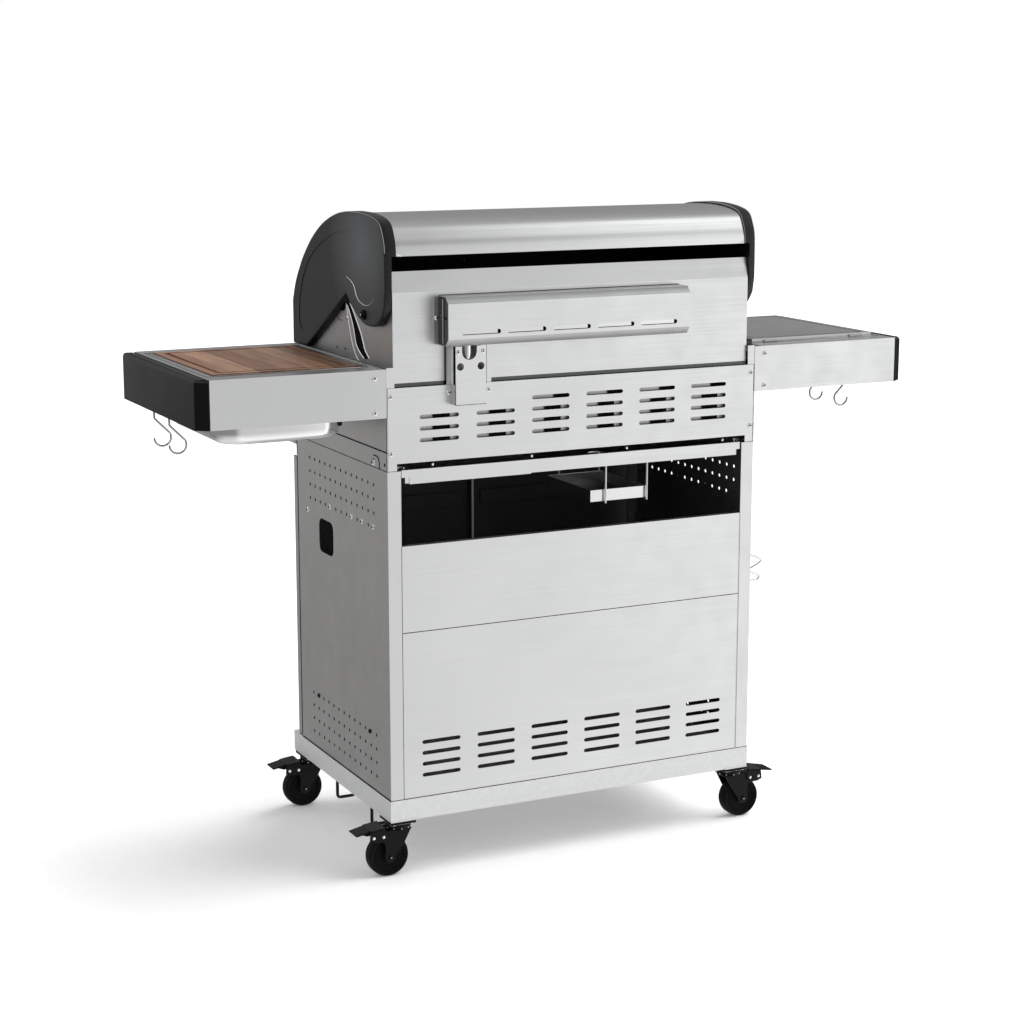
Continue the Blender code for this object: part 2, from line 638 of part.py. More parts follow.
def lid():
    """The rolled steel lid, its end castings, handle and thermometer, all on the lid's pivot."""
    hinge = (0, HINGE_Y, HINGE_Z)
    line = lid_line()
    above = [point for point in line if point[1] > 1.089 or point[0] < 0]
    outer = inset(above, 0.0033)
    inner = inset(above, 0.0033 + SHEET)
    outer[-1] = (outer[-1][0], 0.9050)
    inner[-1] = (inner[-1][0], 0.9050)
    shell = prism("lid_shell", "X", outer + inner[::-1], -CAP_IN + GAP, CAP_IN - GAP, STEEL)
    pivot(shell, hinge)

    notch = [(-0.1720, 0.8990), (-0.1400, 0.9007), (0.0560, 1.0115), (0.0600, 1.0135),
             (0.0640, 1.0115), (0.0790, 0.9995), (0.1020, 0.9845), (0.1240, 0.9740),
             (0.1470, 0.9680), (0.1840, 0.9690), (0.2130, 0.9800), (0.2310, 1.0020)]
    rim_line = above
    rim = rim_line + inset(rim_line, 0.0030)[::-1]
    for name, side in (("left", 1), ("right", -1)):
        span = sorted((side * CAP_IN, side * CAP_OUT))
        cap = prism(f"lid_cap_{name}", "X", line + notch, span[0], span[1], CASTING)
        reach = sorted((side * RIM_IN, side * (CAP_IN + 0.001)))
        join(cap, prism(f"lid_rim_{name}", "X", rim, reach[0], reach[1]))
        start = min(side * 0.345, side * 0.370)
        cut(cap, rods(f"cap_bore_{name}", "X", [((start, HINGE_Y, HINGE_Z), 0.0046, 0.025)],
                      sides=12))
        pivot(cap, hinge)

    bar_y = -0.2625
    bar_z = 0.9550
    handle = rods("lid_handle", "X", [((-0.285, bar_y, bar_z), 0.012, 0.570)], STEEL)
    post_start = -0.2037 - GAP
    posts = rods("handle_posts", "Y", [((x, bar_y, bar_z), 0.009, post_start - bar_y)
                                       for x in (-0.255, 0.255)])
    join(handle, posts)
    pivot(handle, hinge)

    lower, upper = [(a, b) for a, b in zip(outer, outer[1:]) if b[1] < 1.050 and b[0] < 0][0]
    seat = Vector((0, (lower[0] + upper[0]) / 2, (lower[1] + upper[1]) / 2))
    along = Vector((0, upper[0] - lower[0], upper[1] - lower[1])).normalized()
    normal = Vector((0, along.z, -along.y))
    if normal.y > 0:
        normal = -normal
    gauge = turned("lid_thermometer", [(0.0, 0.0), (0.0370, 0.0), (0.0370, 0.0080), (0.0350, 0.0110),
                                       (0.0320, 0.0110), (0.0310, 0.0090), (0.0, 0.0090)], 24, CHROME)
    matrix = Matrix.Translation(seat + normal * GAP) @ normal.to_track_quat("Z", "X").to_matrix().to_4x4()
    gauge.data.transform(matrix)
    pivot(gauge, hinge)


# ---------------------------------------------------------------- shelves
def hook_places(side):
    return (-0.042, 0.045) if side > 0 else (-0.010, 0.076)


def mirrored(side, low, high):
    """A box given for the +X shelf, on either side."""
    xs = sorted((side * low[0], side * high[0]))
    return (xs[0], *low[1:]), (xs[1], *high[1:])


def shelf(name, side):
    """A shelf box, open below, with a stepped well in its top, and its black end cap."""
    wall = SHEET
    frame = box(f"shelf_{name}", *mirrored(side, (0.3655, SHELF_FRONT, SHELF_BOTTOM),
                                           (SHELF_END, REAR, SHELF_TOP)), STEEL)
    under = box(f"shelf_{name}_under", *mirrored(
        side, (0.3655 + wall, SHELF_FRONT + wall, 0.800),
        (SHELF_END - wall, REAR - wall, SHELF_TOP - wall)))
    well = box(f"shelf_{name}_well", *mirrored(
        side, (WELL_X[0], WELL_Y[0], LEDGE_Z), (WELL_X[1], WELL_Y[1], 0.920)))
    tub = box(f"shelf_{name}_tub", *mirrored(
        side, (WELL_X[0] - wall, WELL_Y[0] - wall, LEDGE_Z - wall),
        (WELL_X[1] + wall, WELL_Y[1] + wall, SHELF_TOP - 0.0005)))
    mouth = box(f"shelf_{name}_mouth", *mirrored(
        side, (WELL_X[0] + 0.010, WELL_Y[0] + 0.0115, 0.850),
        (WELL_X[1] - 0.010, WELL_Y[1] - 0.0115, 0.900)))
    slits = boxes(f"shelf_{name}_hook_slits", [
        mirrored(side, (SHELF_END - 0.005, y - 0.0040, 0.8310), (SHELF_END + 0.005, y + 0.0040, 0.8375))
        for y in hook_places(side)
    ])
    cut(frame, under)
    join(frame, tub)
    cut(frame, well, mouth, slits)

    x0 = SHELF_END + GAP
    outline = [(x0, SHELF_FRONT), (SHELF_REACH - 0.004, SHELF_FRONT), (SHELF_REACH, SHELF_FRONT + 0.004),
               (SHELF_REACH, REAR - 0.015), (x0 + 0.001, REAR), (x0, REAR)]
    hollow = [(x0 - 0.001, SHELF_FRONT + 0.003), (SHELF_REACH - 0.003, SHELF_FRONT + 0.003),
              (SHELF_REACH - 0.003, REAR - 0.017), (x0 + 0.0005, REAR - 0.004),
              (x0 - 0.001, REAR - 0.004)]
    outline = [(side * u, v) for u, v in outline]
    hollow = [(side * u, v) for u, v in hollow]
    cap = prism(f"shelf_cap_{name}", "Z", outline, SHELF_BOTTOM, SHELF_TOP, PLASTIC)
    cut(cap, prism(f"shelf_cap_{name}_hollow", "Z", hollow, 0.800, SHELF_TOP - 0.003))


def board_and_pan():
    """The chopping board and the deep steel pan under it, both lying on the well's ledge."""
    low_x, high_x = WELL_X[0] + 0.001, WELL_X[1] - 0.001
    low_y, high_y = WELL_Y[0] + 0.001, WELL_Y[1] - 0.001
    rim = LEDGE_Z + GAP
    board = box("cutting_board", (low_x, low_y, rim + 0.0015), (high_x, high_y, 0.9050), WALNUT)
    groove_out = rounded(low_x + 0.014, low_y + 0.014, high_x - 0.014, high_y - 0.014, 0.006, 2)
    groove_in = rounded(low_x + 0.022, low_y + 0.022, high_x - 0.022, high_y - 0.022, 0.004, 2)
    cut(board, prisms("juice_groove", "Z", [groove_out, groove_in], 0.9010, 0.9200))
    pivot(board, ((low_x + high_x) / 2, (low_y + high_y) / 2, rim + 0.0015))

    pan = box("gastro_pan", (low_x, low_y, rim), (high_x, high_y, rim + 0.0012), STEEL)
    body = rounded(low_x + 0.017, low_y + 0.0115, high_x - 0.017, high_y - 0.0115, 0.040, 5)
    inner = rounded(low_x + 0.018, low_y + 0.0125, high_x - 0.018, high_y - 0.0125, 0.039, 5)
    join(pan, prism("pan_body", "Z", body, 0.7800, rim + 0.0010))
    cut(pan, prism("pan_inside", "Z", inner, 0.7810, 0.9200))
    pivot(pan, ((low_x + high_x) / 2, (low_y + high_y) / 2, 0.780))


def side_burner():
    """The drop-in burner of the -X shelf, with its pan support, and the flat lid over it."""
    low_x, high_x = -WELL_X[1] + 0.001, -WELL_X[0] - 0.001
    low_y, high_y = WELL_Y[0] + 0.001, WELL_Y[1] - 0.001
    rim = LEDGE_Z + GAP
    middle_x = (low_x + high_x) / 2
    middle_y = (low_y + high_y) / 2
    bowl = box("side_burner", (low_x, low_y, rim), (high_x, high_y, rim + 0.0012), DARK_STEEL)
    join(bowl, box("bowl_body", (low_x + 0.011, low_y + 0.0115, 0.8600),
                   (high_x - 0.011, high_y - 0.0115, rim + 0.0010)))
    cut(bowl, box("bowl_inside", (low_x + 0.012, low_y + 0.0125, 0.8612),
                  (high_x - 0.012, high_y - 0.0125, 0.9200)))
    join(bowl, rods("burner_head", "Z", [((middle_x, middle_y, 0.8605), 0.036, 0.0245)]))
    bars = [((low_x + 0.0115, middle_y - 0.003, 0.8880), (high_x - 0.0115, middle_y + 0.003, 0.8960)),
            ((middle_x - 0.003, low_y + 0.0120, 0.8880), (middle_x + 0.003, high_y - 0.0120, 0.8960))]
    for bar in bars:
        join(bowl, box(f"pan_support_{bars.index(bar)}", *bar))

    lid_low, lid_high = 0.9034, 0.9095
    rear = WELL_Y[1] + 0.001
    plate = box("side_burner_lid", (-WELL_X[1] - 0.002, WELL_Y[0] - 0.003, lid_low),
                (-WELL_X[0] + 0.002, rear, lid_high), STEEL)
    cut(plate, box("side_lid_hollow", (-WELL_X[1] - 0.0008, WELL_Y[0] - 0.0018, 0.900),
                   (-WELL_X[0] + 0.0008, rear - SHEET, lid_high - SHEET)))
    pivot(plate, (middle_x, rear + 0.0015, 0.9050))


def hooks():
    """S-hooks hung in slits of the shelves' end walls."""
    wall_x = SHELF_END - SHEET / 2
    top_z = 0.8335
    upper = 0.0096
    top_arc = arc(wall_x, top_z - upper, upper, 200, 0, 7)
    shank = [(wall_x + upper, 0.8060), (wall_x + 0.0072, 0.8005)]
    lower = 0.0150
    low_arc = arc(wall_x - 0.0045, 0.7680, lower, 150, 355, 8)
    path = top_arc + shank + low_arc
    number = 0
    for side in (1, -1):
        for y in hook_places(side):
            number += 1
            route = [(side * u, y, v) for u, v in path]
            pivot(wires(f"s_hook_{number}", [route], 0.0019, CHROME), (side * wall_x, y, 0.8310))


# ---------------------------------------------------------------- casters
def casters():
    """Four braked swivel casters: fork with swivel race, wheel and brake pedal."""
    trail = CASTER_TRAIL
    cheek = [(-0.0200, 0.0865), (0.0200, 0.0865), (0.0400, 0.0840), (0.0405, 0.0725),
             (0.0330, 0.0640), (trail + 0.0105, 0.0500)]
    cheek += arc(trail, WHEEL_R, 0.0105, 0, -180, 5)
    crown = box("fork_form", (-0.0200, -0.0185, 0.0845), (0.0200, 0.0185, 0.0870))
    sides = [prism(f"fork_side_{sign}", "Y", cheek, min(sign * 0.0165, sign * 0.0185),
                   max(sign * 0.0165, sign * 0.0185)) for sign in (-1, 1)]
    race = rods("fork_race", "Z", [((0, 0, 0.0860), 0.0235, 0.0110)], sides=20)
    axle = rods("fork_axle", "Y", [((trail, -0.0180, WHEEL_R), 0.004, 0.0360)], sides=12)
    brake = (0.0360, 0.0775)
    pins = rods("fork_pins", "Y", [((brake[0], 0.0170, brake[1]), 0.0022, 0.0045),
                                   ((brake[0], -0.0215, brake[1]), 0.0022, 0.0045)], sides=8)
    join(crown, *sides, race, axle, pins)
    fork_mesh = finished_mesh(crown)

    profile = [(0.0044, 0.0150), (0.0100, 0.0150), (0.0120, 0.0090), (0.0270, 0.0090),
               (0.0285, 0.0125), (0.0350, 0.0125), (0.0375, 0.0090)]
    profile = profile + [(r, -z) for r, z in reversed(profile)]
    wheel = turned("wheel_form", profile, 24)
    wheel_mesh = finished_mesh(wheel)
    wheel_mesh.transform(TO_AXIS["Y"])

    top = [(0.0320, 0.0945), (0.0320, 0.0905), (0.0600, 0.0875), (0.0860, 0.0830),
           (0.0870, 0.0860), (0.0600, 0.0915)]
    pedal = prism("pedal_form", "Y", top, -0.0205, 0.0205)
    narrow = boxes("pedal_sides", [((0.0640, 0.0170, 0.070), (0.1000, 0.0300, 0.100)),
                                   ((0.0640, -0.0300, 0.070), (0.1000, -0.0170, 0.100))])
    ear = [(0.0285, 0.0725), (0.0340, 0.0700), (0.0520, 0.0655), (0.0620, 0.0720),
           (0.0600, 0.0890), (0.0325, 0.0920), (0.0285, 0.0850)]
    ears = [prism(f"pedal_ear_{sign}", "Y", ear, min(sign * 0.0189, sign * 0.0205),
                  max(sign * 0.0189, sign * 0.0205)) for sign in (-1, 1)]
    join(pedal, *ears)
    cut(pedal, narrow, rods("pedal_bore", "Y", [((brake[0], -0.0300, brake[1]), 0.0026, 0.0600)], sides=8))
    pedal_mesh = finished_mesh(pedal)
    pedal_mesh.transform(Matrix.Translation((-brake[0], 0, -brake[1])))

    for end, y in (("front", CASTER_Y[0]), ("rear", CASTER_Y[1])):
        for name, side in (("left", 1), ("right", -1)):
            label = f"{end}_{name}"
            swivel = bpy.data.objects.new(f"swivel_{label}", None)
            parts.objects.link(swivel)
            swivel.location = (side * CASTER_X, y, 0)
            swivel.rotation_euler = (0, 0, 0 if side > 0 else math.pi)
            fork = place(f"caster_fork_{label}", fork_mesh, CASTING)
            fork.parent = swivel
            turning = place(f"caster_wheel_{label}", wheel_mesh, RUBBER)
            turning.parent = swivel
            turning.location = (trail, 0, WHEEL_R)
            lever = place(f"caster_pedal_{label}", pedal_mesh, CASTING)
            lever.parent = swivel
            lever.location = (brake[0], 0, brake[1])


def shade():
    """Smooth shading with sharp folds, for every mesh once."""
    for obj in parts.objects:
        if obj.type == "MESH":
            obj.data.shade_smooth()
            obj.data.set_sharp_from_angle(angle=math.radians(35))


base_tray()
side_panel("side_panel_left", 1)
side_panel("side_panel_right", -1)
rear_panels()
rear_vent_cover()
top_frame()
firebox()
firebox_back()
rear_burner()
burners()
grates()
drip_tray()
doors()
control_panel()
lid()
shelf("left", 1)
shelf("right", -1)
board_and_pan()
side_burner()
hooks()
casters()
shade()
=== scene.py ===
"""The finished look of the gas grill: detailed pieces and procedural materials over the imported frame.

Metres, +Z up, +Y is the rear of the grill, +X is the shelf with the chopping board.
"""
import math

import bmesh
import bpy
from mathutils import Matrix, Vector


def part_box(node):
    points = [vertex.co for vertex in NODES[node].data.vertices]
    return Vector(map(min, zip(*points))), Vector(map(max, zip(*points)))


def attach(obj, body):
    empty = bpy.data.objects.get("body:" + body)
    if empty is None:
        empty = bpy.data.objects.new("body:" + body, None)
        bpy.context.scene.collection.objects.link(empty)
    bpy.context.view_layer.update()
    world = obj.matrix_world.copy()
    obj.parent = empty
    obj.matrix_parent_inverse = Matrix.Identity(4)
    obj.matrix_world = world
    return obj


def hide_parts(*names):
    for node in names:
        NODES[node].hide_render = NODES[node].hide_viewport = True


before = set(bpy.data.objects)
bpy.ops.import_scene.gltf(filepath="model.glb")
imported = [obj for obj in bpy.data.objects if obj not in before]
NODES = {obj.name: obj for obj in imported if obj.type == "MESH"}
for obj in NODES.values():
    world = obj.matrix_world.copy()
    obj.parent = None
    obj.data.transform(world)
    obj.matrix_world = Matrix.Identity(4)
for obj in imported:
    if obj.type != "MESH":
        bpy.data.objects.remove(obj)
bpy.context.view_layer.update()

# Planes, axes and sizes, in metres. Those of the CAD repeat part.py, which this script can't read.
# A side goes with the sign of its X. SHEET is the thickness of the thin steel sheets.
SIDES = (("left", 1), ("right", -1))
SHEET = 0.0012

# Cabinet: its outer side and rear planes, the side sheets' edges, the rear vent cover's slot spacing.
HALF_W = 0.365
REAR = 0.24
SIDE_FRONT = -0.192
SIDE_LOW = 0.1423
SIDE_HIGH = 0.727
VENT_PITCH = 0.107

# Firebox and lid: the raised side's outer plane, the lid's axis, the end castings' planes.
BOX_SIDE = 0.35
HINGE = Vector((0.0, 0.1435, 0.986))
CAP_IN = 0.3515
CAP_OUT = 0.364
RIM_IN = 0.3427
LID_TOP = 1.159
LID_REAR_EDGE = 1.0895

# Shelves: the wells, the board's inner edge and the width of its strips, the end caps.
WELL_X = (0.3925, 0.6545)
WELL_Y = (-0.139, 0.188)
BOARD_EDGE = 0.3935
STRIP = 0.0436
SHELF_FRONT = -0.184
SHELF_LOW = 0.82
SHELF_TOP = 0.903
SHELF_END = 0.6758

# Casters: their swivel axes, and in a fork's own frame its trail and the pedal's pivot (X, Z).
CASTER_X = 0.342
CASTER_Y = {"front": -0.206, "rear": 0.215}
TRAIL = 0.022
WHEEL_R = 0.0375
BRAKE = (0.036, 0.0775)

# Control panel: the knobs' places, and the upper and lower edges of its sloping face.
KNOB_X = (-0.275, -0.165, -0.055, 0.055, 0.165, 0.275)
KNOB_Z = 0.815
PANEL_TOP = Vector((0.0, -0.216, 0.8935))
PANEL_LOW = Vector((0.0, -0.246, 0.735))

# Studio lights at infinity: a strength, then windows that multiply it. Each window is an axis
# and the cosines between which it opens.
LIGHTS = (
    (0.28,),
    (0.18, ((0, 0, 1), 0.0, 1.0)),
    (0.45, ((0, 1, 0), -0.2, 0.8), ((0, 0, -1), -0.48, 0.1), ((-1, 0, 0), -0.5, 0.1)),
    (0.72, ((-1, 0, 0), 0.36, 0.6), ((0, 1, 0), -0.5, 0.5)),
    (0.6, ((-1, 0, 0), 0.38, 0.48), ((0, 0, 1), 0.4, 0.8), ((0, 1, 0), 0.0, 0.5)),
    (0.5, ((0, 0, 1), -0.25, 0.15), ((1, 0, 0), 0.05, 0.5)),
    (0.6, ((0, 0, -1), 0.3, 0.8)),
)
SUN_FROM = (-0.58, -0.03, 0.8)
SUN_POWER = 3.4
FLOOR_HALF = 12.0
CAMERA_AT = (1.772, 3.585, 1.383)
CAMERA_TOWARDS = Vector((-0.4322, -0.8802, -0.196))
LENS_MM = 76.3
SENSOR_MM = 36.0


# ---------------------------------------------------------------- materials
class Nodes:
    """Short helper for building one material's node tree."""

    def __init__(self, name):
        self.material = bpy.data.materials.new(name)
        self.material.use_nodes = True
        self.tree = self.material.node_tree
        self.shader = self.tree.nodes["Principled BSDF"]

    def add(self, kind, **settings):
        node = self.tree.nodes.new(kind)
        for key, value in settings.items():
            setattr(node, key, value)
        return node

    def link(self, start, end):
        self.tree.links.new(start, end)

    def set(self, **values):
        for key, value in values.items():
            self.shader.inputs[key.replace("_", " ")].default_value = value

    def position(self, scale):
        """Object coordinates times one number, or times one for each axis."""
        coordinates = self.add("ShaderNodeTexCoord")
        mapping = self.add("ShaderNodeMapping")
        mapping.inputs["Scale"].default_value = scale if isinstance(scale, tuple) else (scale,) * 3
        self.link(coordinates.outputs["Object"], mapping.inputs["Vector"])
        return mapping.outputs["Vector"]

    def noise(self, scale, detail=3.0):
        """Noise with a frequency per metre, or with one for each axis."""
        node = self.add("ShaderNodeTexNoise")
        node.inputs["Scale"].default_value = 1.0
        node.inputs["Detail"].default_value = detail
        self.link(self.position(scale), node.inputs["Vector"])
        return node.outputs["Fac"]

    def spread(self, value, low, high, start=0.3, end=0.7):
        """A value between start and end mapped to low and high."""
        node = self.add("ShaderNodeMapRange")
        node.inputs["From Min"].default_value = start
        node.inputs["From Max"].default_value = end
        node.inputs["To Min"].default_value = low
        node.inputs["To Max"].default_value = high
        self.link(value, node.inputs["Value"])
        return node.outputs["Result"]

    def math(self, operation, first, second):
        node = self.add("ShaderNodeMath", operation=operation)
        for index, value in enumerate((first, second)):
            if isinstance(value, (int, float)):
                node.inputs[index].default_value = value
            else:
                self.link(value, node.inputs[index])
        return node.outputs["Value"]

    def mix(self, factor, first, second):
        """Mixes two colours."""
        node = self.add("ShaderNodeMix", data_type="RGBA")
        sockets = (node.inputs[0], node.inputs[6], node.inputs[7])
        for socket, value in zip(sockets, (factor, first, second)):
            if isinstance(value, tuple):
                socket.default_value = (*value, 1.0)
            elif isinstance(value, (int, float)):
                socket.default_value = value
            else:
                self.link(value, socket)
        return node.outputs[2]

    def bump(self, height, strength, distance):
        node = self.add("ShaderNodeBump")
        node.inputs["Strength"].default_value = strength
        node.inputs["Distance"].default_value = distance
        self.link(height, node.inputs["Height"])
        self.link(node.outputs["Normal"], self.shader.inputs["Normal"])


def scaled(colour, factor):
    return tuple(min(1.0, channel * factor) for channel in colour)


GRAIN = {"X": (5, 700, 700), "Y": (700, 5, 700), "Z": (700, 700, 5)}


def steel(name, colour, roughness, grain="X", smudge=0.05):
    """Brushed sheet: a fine straight grain, broad soft patches and faint handling marks."""
    n = Nodes(name)
    fine = n.noise(GRAIN[grain], 2.0)
    broad = n.noise(3.5, 2.0)
    marks = n.noise(22, 4.0)
    base = n.mix(n.spread(broad, 0.0, 1.0), scaled(colour, 0.955), scaled(colour, 1.03))
    base = n.mix(n.spread(fine, 0.0, 0.5), base, scaled(colour, 0.9))
    n.link(base, n.shader.inputs["Base Color"])
    rough = n.math("ADD", n.spread(fine, roughness - 0.035, roughness + 0.035),
                   n.spread(marks, -smudge, smudge, 0.35, 0.75))
    n.link(rough, n.shader.inputs["Roughness"])
    n.set(Metallic=1.0, Anisotropic=0.35)
    n.bump(fine, 0.1, 0.0002)
    return n.material


def plain_metal(name, colour, roughness, size):
    """Turned, plated or cast metal with slight variation."""
    n = Nodes(name)
    spots = n.noise(size, 3.0)
    base = n.mix(n.spread(spots, 0.0, 1.0), scaled(colour, 0.88), scaled(colour, 1.06))
    n.link(base, n.shader.inputs["Base Color"])
    n.link(n.spread(spots, roughness * 0.85, roughness * 1.2), n.shader.inputs["Roughness"])
    n.set(Metallic=1.0)
    n.bump(spots, 0.08, 0.0002)
    return n.material


def galvanised(name, colour, roughness):
    """Zinc-coated sheet: half metal, half dull, with a faint crystal pattern."""
    n = Nodes(name)
    cells = n.add("ShaderNodeTexVoronoi")
    cells.inputs["Scale"].default_value = 1.0
    n.link(n.position(160), cells.inputs["Vector"])
    split = n.add("ShaderNodeSeparateColor")
    n.link(cells.outputs["Color"], split.inputs["Color"])
    tone = split.outputs["Red"]
    n.link(n.mix(tone, scaled(colour, 0.96), scaled(colour, 1.03)), n.shader.inputs["Base Color"])
    n.link(n.spread(tone, roughness - 0.04, roughness + 0.05, 0, 1), n.shader.inputs["Roughness"])
    n.set(Metallic=0.42)
    n.bump(n.noise(90, 3.0), 0.05, 0.0002)
    return n.material


def coated(name, colour, roughness, speckle, depth, flecks, gloss=0.5, painted_highlight=None):
    """A coat with a fine sandy texture and pale flecks. painted_highlight paints a highlight on it as a paler
    round zone: the zone's centre in Y and Z, its radius, and how many times lighter its middle is."""
    n = Nodes(name)
    grit = n.noise(speckle, 2.0)
    cloud = n.noise(9, 3.0)
    base = n.mix(n.spread(cloud, 0.0, 1.0), scaled(colour, 0.85), scaled(colour, 1.15))
    base = n.mix(n.spread(grit, 0.0, flecks, 0.58, 0.8), base, scaled(colour, 3.2))
    if painted_highlight:
        centre_y, centre_z, reach, gain = painted_highlight
        away = n.add("ShaderNodeVectorMath", operation="DISTANCE")
        n.link(n.position((0, 1, 1)), away.inputs[0])
        away.inputs[1].default_value = (0.0, centre_y, centre_z)
        paler = n.spread(away.outputs["Value"], 1.0, 0.0, 0.0, reach)
        base = n.mix(paler, base, scaled(colour, gain))
    n.link(base, n.shader.inputs["Base Color"])
    n.set(Specular_IOR_Level=gloss)
    rough = n.math("ADD", n.spread(grit, roughness - 0.06, roughness + 0.06),
                   n.spread(cloud, -0.04, 0.04))
    n.link(rough, n.shader.inputs["Roughness"])
    n.bump(grit, depth, 0.0003)
    return n.material


def walnut():
    """Strips laid along Y, each with its own tone, with grain and pores."""
    n = Nodes("walnut_strips")
    coordinates = n.add("ShaderNodeTexCoord")
    split = n.add("ShaderNodeSeparateXYZ")
    n.link(coordinates.outputs["Object"], split.inputs["Vector"])
    place = n.math("DIVIDE", n.math("SUBTRACT", split.outputs["X"], BOARD_EDGE), STRIP)
    strip = n.math("FLOOR", place, 0)
    tone = n.math("FRACT", n.math("ADD", n.math("MULTIPLY", strip, 0.618), 0.35), 0)
    shifted = n.add("ShaderNodeCombineXYZ")
    n.link(n.math("MULTIPLY", split.outputs["X"], 95.0), shifted.inputs["X"])
    n.link(n.math("ADD", n.math("MULTIPLY", split.outputs["Y"], 7.0), n.math("MULTIPLY", strip, 3.7)),
           shifted.inputs["Y"])
    n.link(n.math("MULTIPLY", split.outputs["Z"], 95.0), shifted.inputs["Z"])
    grain = n.add("ShaderNodeTexNoise")
    grain.inputs["Scale"].default_value = 1.0
    grain.inputs["Detail"].default_value = 5.0
    grain.inputs["Roughness"].default_value = 0.6
    grain.inputs["Distortion"].default_value = 0.8
    n.link(shifted.outputs["Vector"], grain.inputs["Vector"])
    pores = n.noise((1300, 40, 1300), 2.0)
    base = n.mix(tone, (0.165, 0.076, 0.043), (0.375, 0.215, 0.135))
    dark = n.mix(tone, (0.07, 0.029, 0.016), (0.19, 0.098, 0.058))
    base = n.mix(n.spread(grain.outputs["Fac"], 0.75, 0.0, 0.35, 0.62), base, dark)
    base = n.mix(n.spread(pores, 0.0, 0.55, 0.6, 0.75), base, (0.035, 0.014, 0.008))
    joint = n.math("LESS_THAN", n.math("FRACT", place, 0), 0.022)
    base = n.mix(n.math("MULTIPLY", joint, 0.7), base, (0.03, 0.012, 0.008))
    n.link(base, n.shader.inputs["Base Color"])
    n.link(n.spread(grain.outputs["Fac"], 0.36, 0.5), n.shader.inputs["Roughness"])
    n.bump(n.math("SUBTRACT", grain.outputs["Fac"], n.math("MULTIPLY", pores, 0.4)), 0.18, 0.0004)
    return n.material


def ceramic():
    """The rear burner's honeycomb tile."""
    n = Nodes("burner_tile")
    cells = n.add("ShaderNodeTexVoronoi")
    cells.inputs["Scale"].default_value = 1.0
    n.link(n.position(330), cells.inputs["Vector"])
    base = n.mix(n.spread(cells.outputs["Distance"], 1.0, 0.0, 0.15, 0.45), (0.42, 0.36, 0.3),
                 (0.06, 0.05, 0.045))
    n.link(base, n.shader.inputs["Base Color"])
    n.link(n.spread(cells.outputs["Distance"], 0.7, 0.95), n.shader.inputs["Roughness"])
    n.bump(cells.outputs["Distance"], 0.5, 0.001)
    return n.material


def glass():
    n = Nodes("dial_glass")
    dust = n.noise(400, 2.0)
    n.link(n.spread(dust, 0.02, 0.07), n.shader.inputs["Roughness"])
    n.set(Base_Color=(0.95, 0.97, 0.98, 1.0), Transmission_Weight=1.0, IOR=1.45)
    return n.material


REAR_STEEL = steel("steel_rear", (0.74, 0.745, 0.75), 0.36, "X")
LID_STEEL = steel("steel_lid", (0.74, 0.745, 0.75), 0.18, "X", 0.02)
SHELF_STEEL = steel("steel_shelf", (0.66, 0.665, 0.67), 0.36, "X")
SIDE_STEEL = steel("steel_side", (0.7, 0.69, 0.68), 0.38, "Z")
# The firebox's and side burner's darker steel, also used on the vent rails and a flange strip; on the rear
# burner cover's lower fold and the catch pan's inner walls it is painted shade.
DARK_STEEL = steel("steel_firebox_and_painted_shade", (0.44, 0.44, 0.44), 0.46, "Z")
ZINC = galvanised("steel_plinth", (0.67, 0.675, 0.68), 0.45)
POST_STEEL = steel("steel_post", (0.72, 0.725, 0.73), 0.36, "Z")
TOP_STEEL = steel("steel_side_lid", (0.66, 0.665, 0.67), 0.33, "Y")
PAN_STEEL = steel("steel_deep_drawn", (0.78, 0.78, 0.78), 0.2, "X", 0.04)
# Bright metal for screws, rivets and pins; also thin strips and wires painted as highlights on folds, ribs
# and edges, and dots painted as glints.
BRIGHT = plain_metal("bright_metal_and_painted_highlights", (0.8, 0.8, 0.8), 0.22, 300.0)
CHROME = plain_metal("chrome_wire", (0.78, 0.79, 0.8), 0.12, 80.0)
# A dark colour painted as shade on the cabinet's, doors' and lid's insides, on ledges and stiffeners, behind
# the burner's slots and on the catch pan's floor.
INSIDE_SHADE = coated("painted_inside_shade", (0.045, 0.045, 0.047), 0.55, 900.0, 0.05, 0.1)
# The paler zone is a painted highlight: it imitates the soft highlight on the lid's end castings.
CASTING = coated("speckled_casting", (0.009, 0.0095, 0.01), 0.46, 1100.0, 0.3, 0.45, 0.3,
                 (0.13, 1.095, 0.15, 9.0))
CASTING_RIM = coated("smooth_rim", (0.006, 0.0063, 0.0068), 0.36, 1500.0, 0.08, 0.1, 0.3)
PLASTIC = coated("satin_black_plastic", (0.008, 0.0083, 0.009), 0.44, 1300.0, 0.12, 0.2, 0.24)
PAINT = coated("black_paint", (0.003, 0.003, 0.0032), 0.34, 900.0, 0.05, 0.1, 0.15)
RUBBER = coated("tread_rubber", (0.003, 0.003, 0.0032), 0.55, 700.0, 0.15, 0.15, 0.09)
IRON = coated("cast_iron_enamel", (0.02, 0.02, 0.021), 0.58, 420.0, 0.5, 0.3)
# Black painted as the shade in holes, recesses, slots and joints and beside folds.
SHADE_BLACK = coated("painted_shade_black", (0.002, 0.002, 0.002), 0.9, 900.0, 0.02, 0.0, 0.1)
WIRE = plain_metal("dark_bright_wire", (0.4, 0.41, 0.42), 0.08, 80.0)
# Grey wires painted as highlights along the lid castings' edges.
EDGE = plain_metal("painted_edge_highlight", (0.55, 0.56, 0.57), 0.3, 300.0)
# A darker copy of the steel, painted shade on the rear burner cover's upper fold; also the side lid's hinge
# knuckles.
DIMMED_STEEL = steel("steel_dimmed", (0.5, 0.505, 0.51), 0.34, "X")
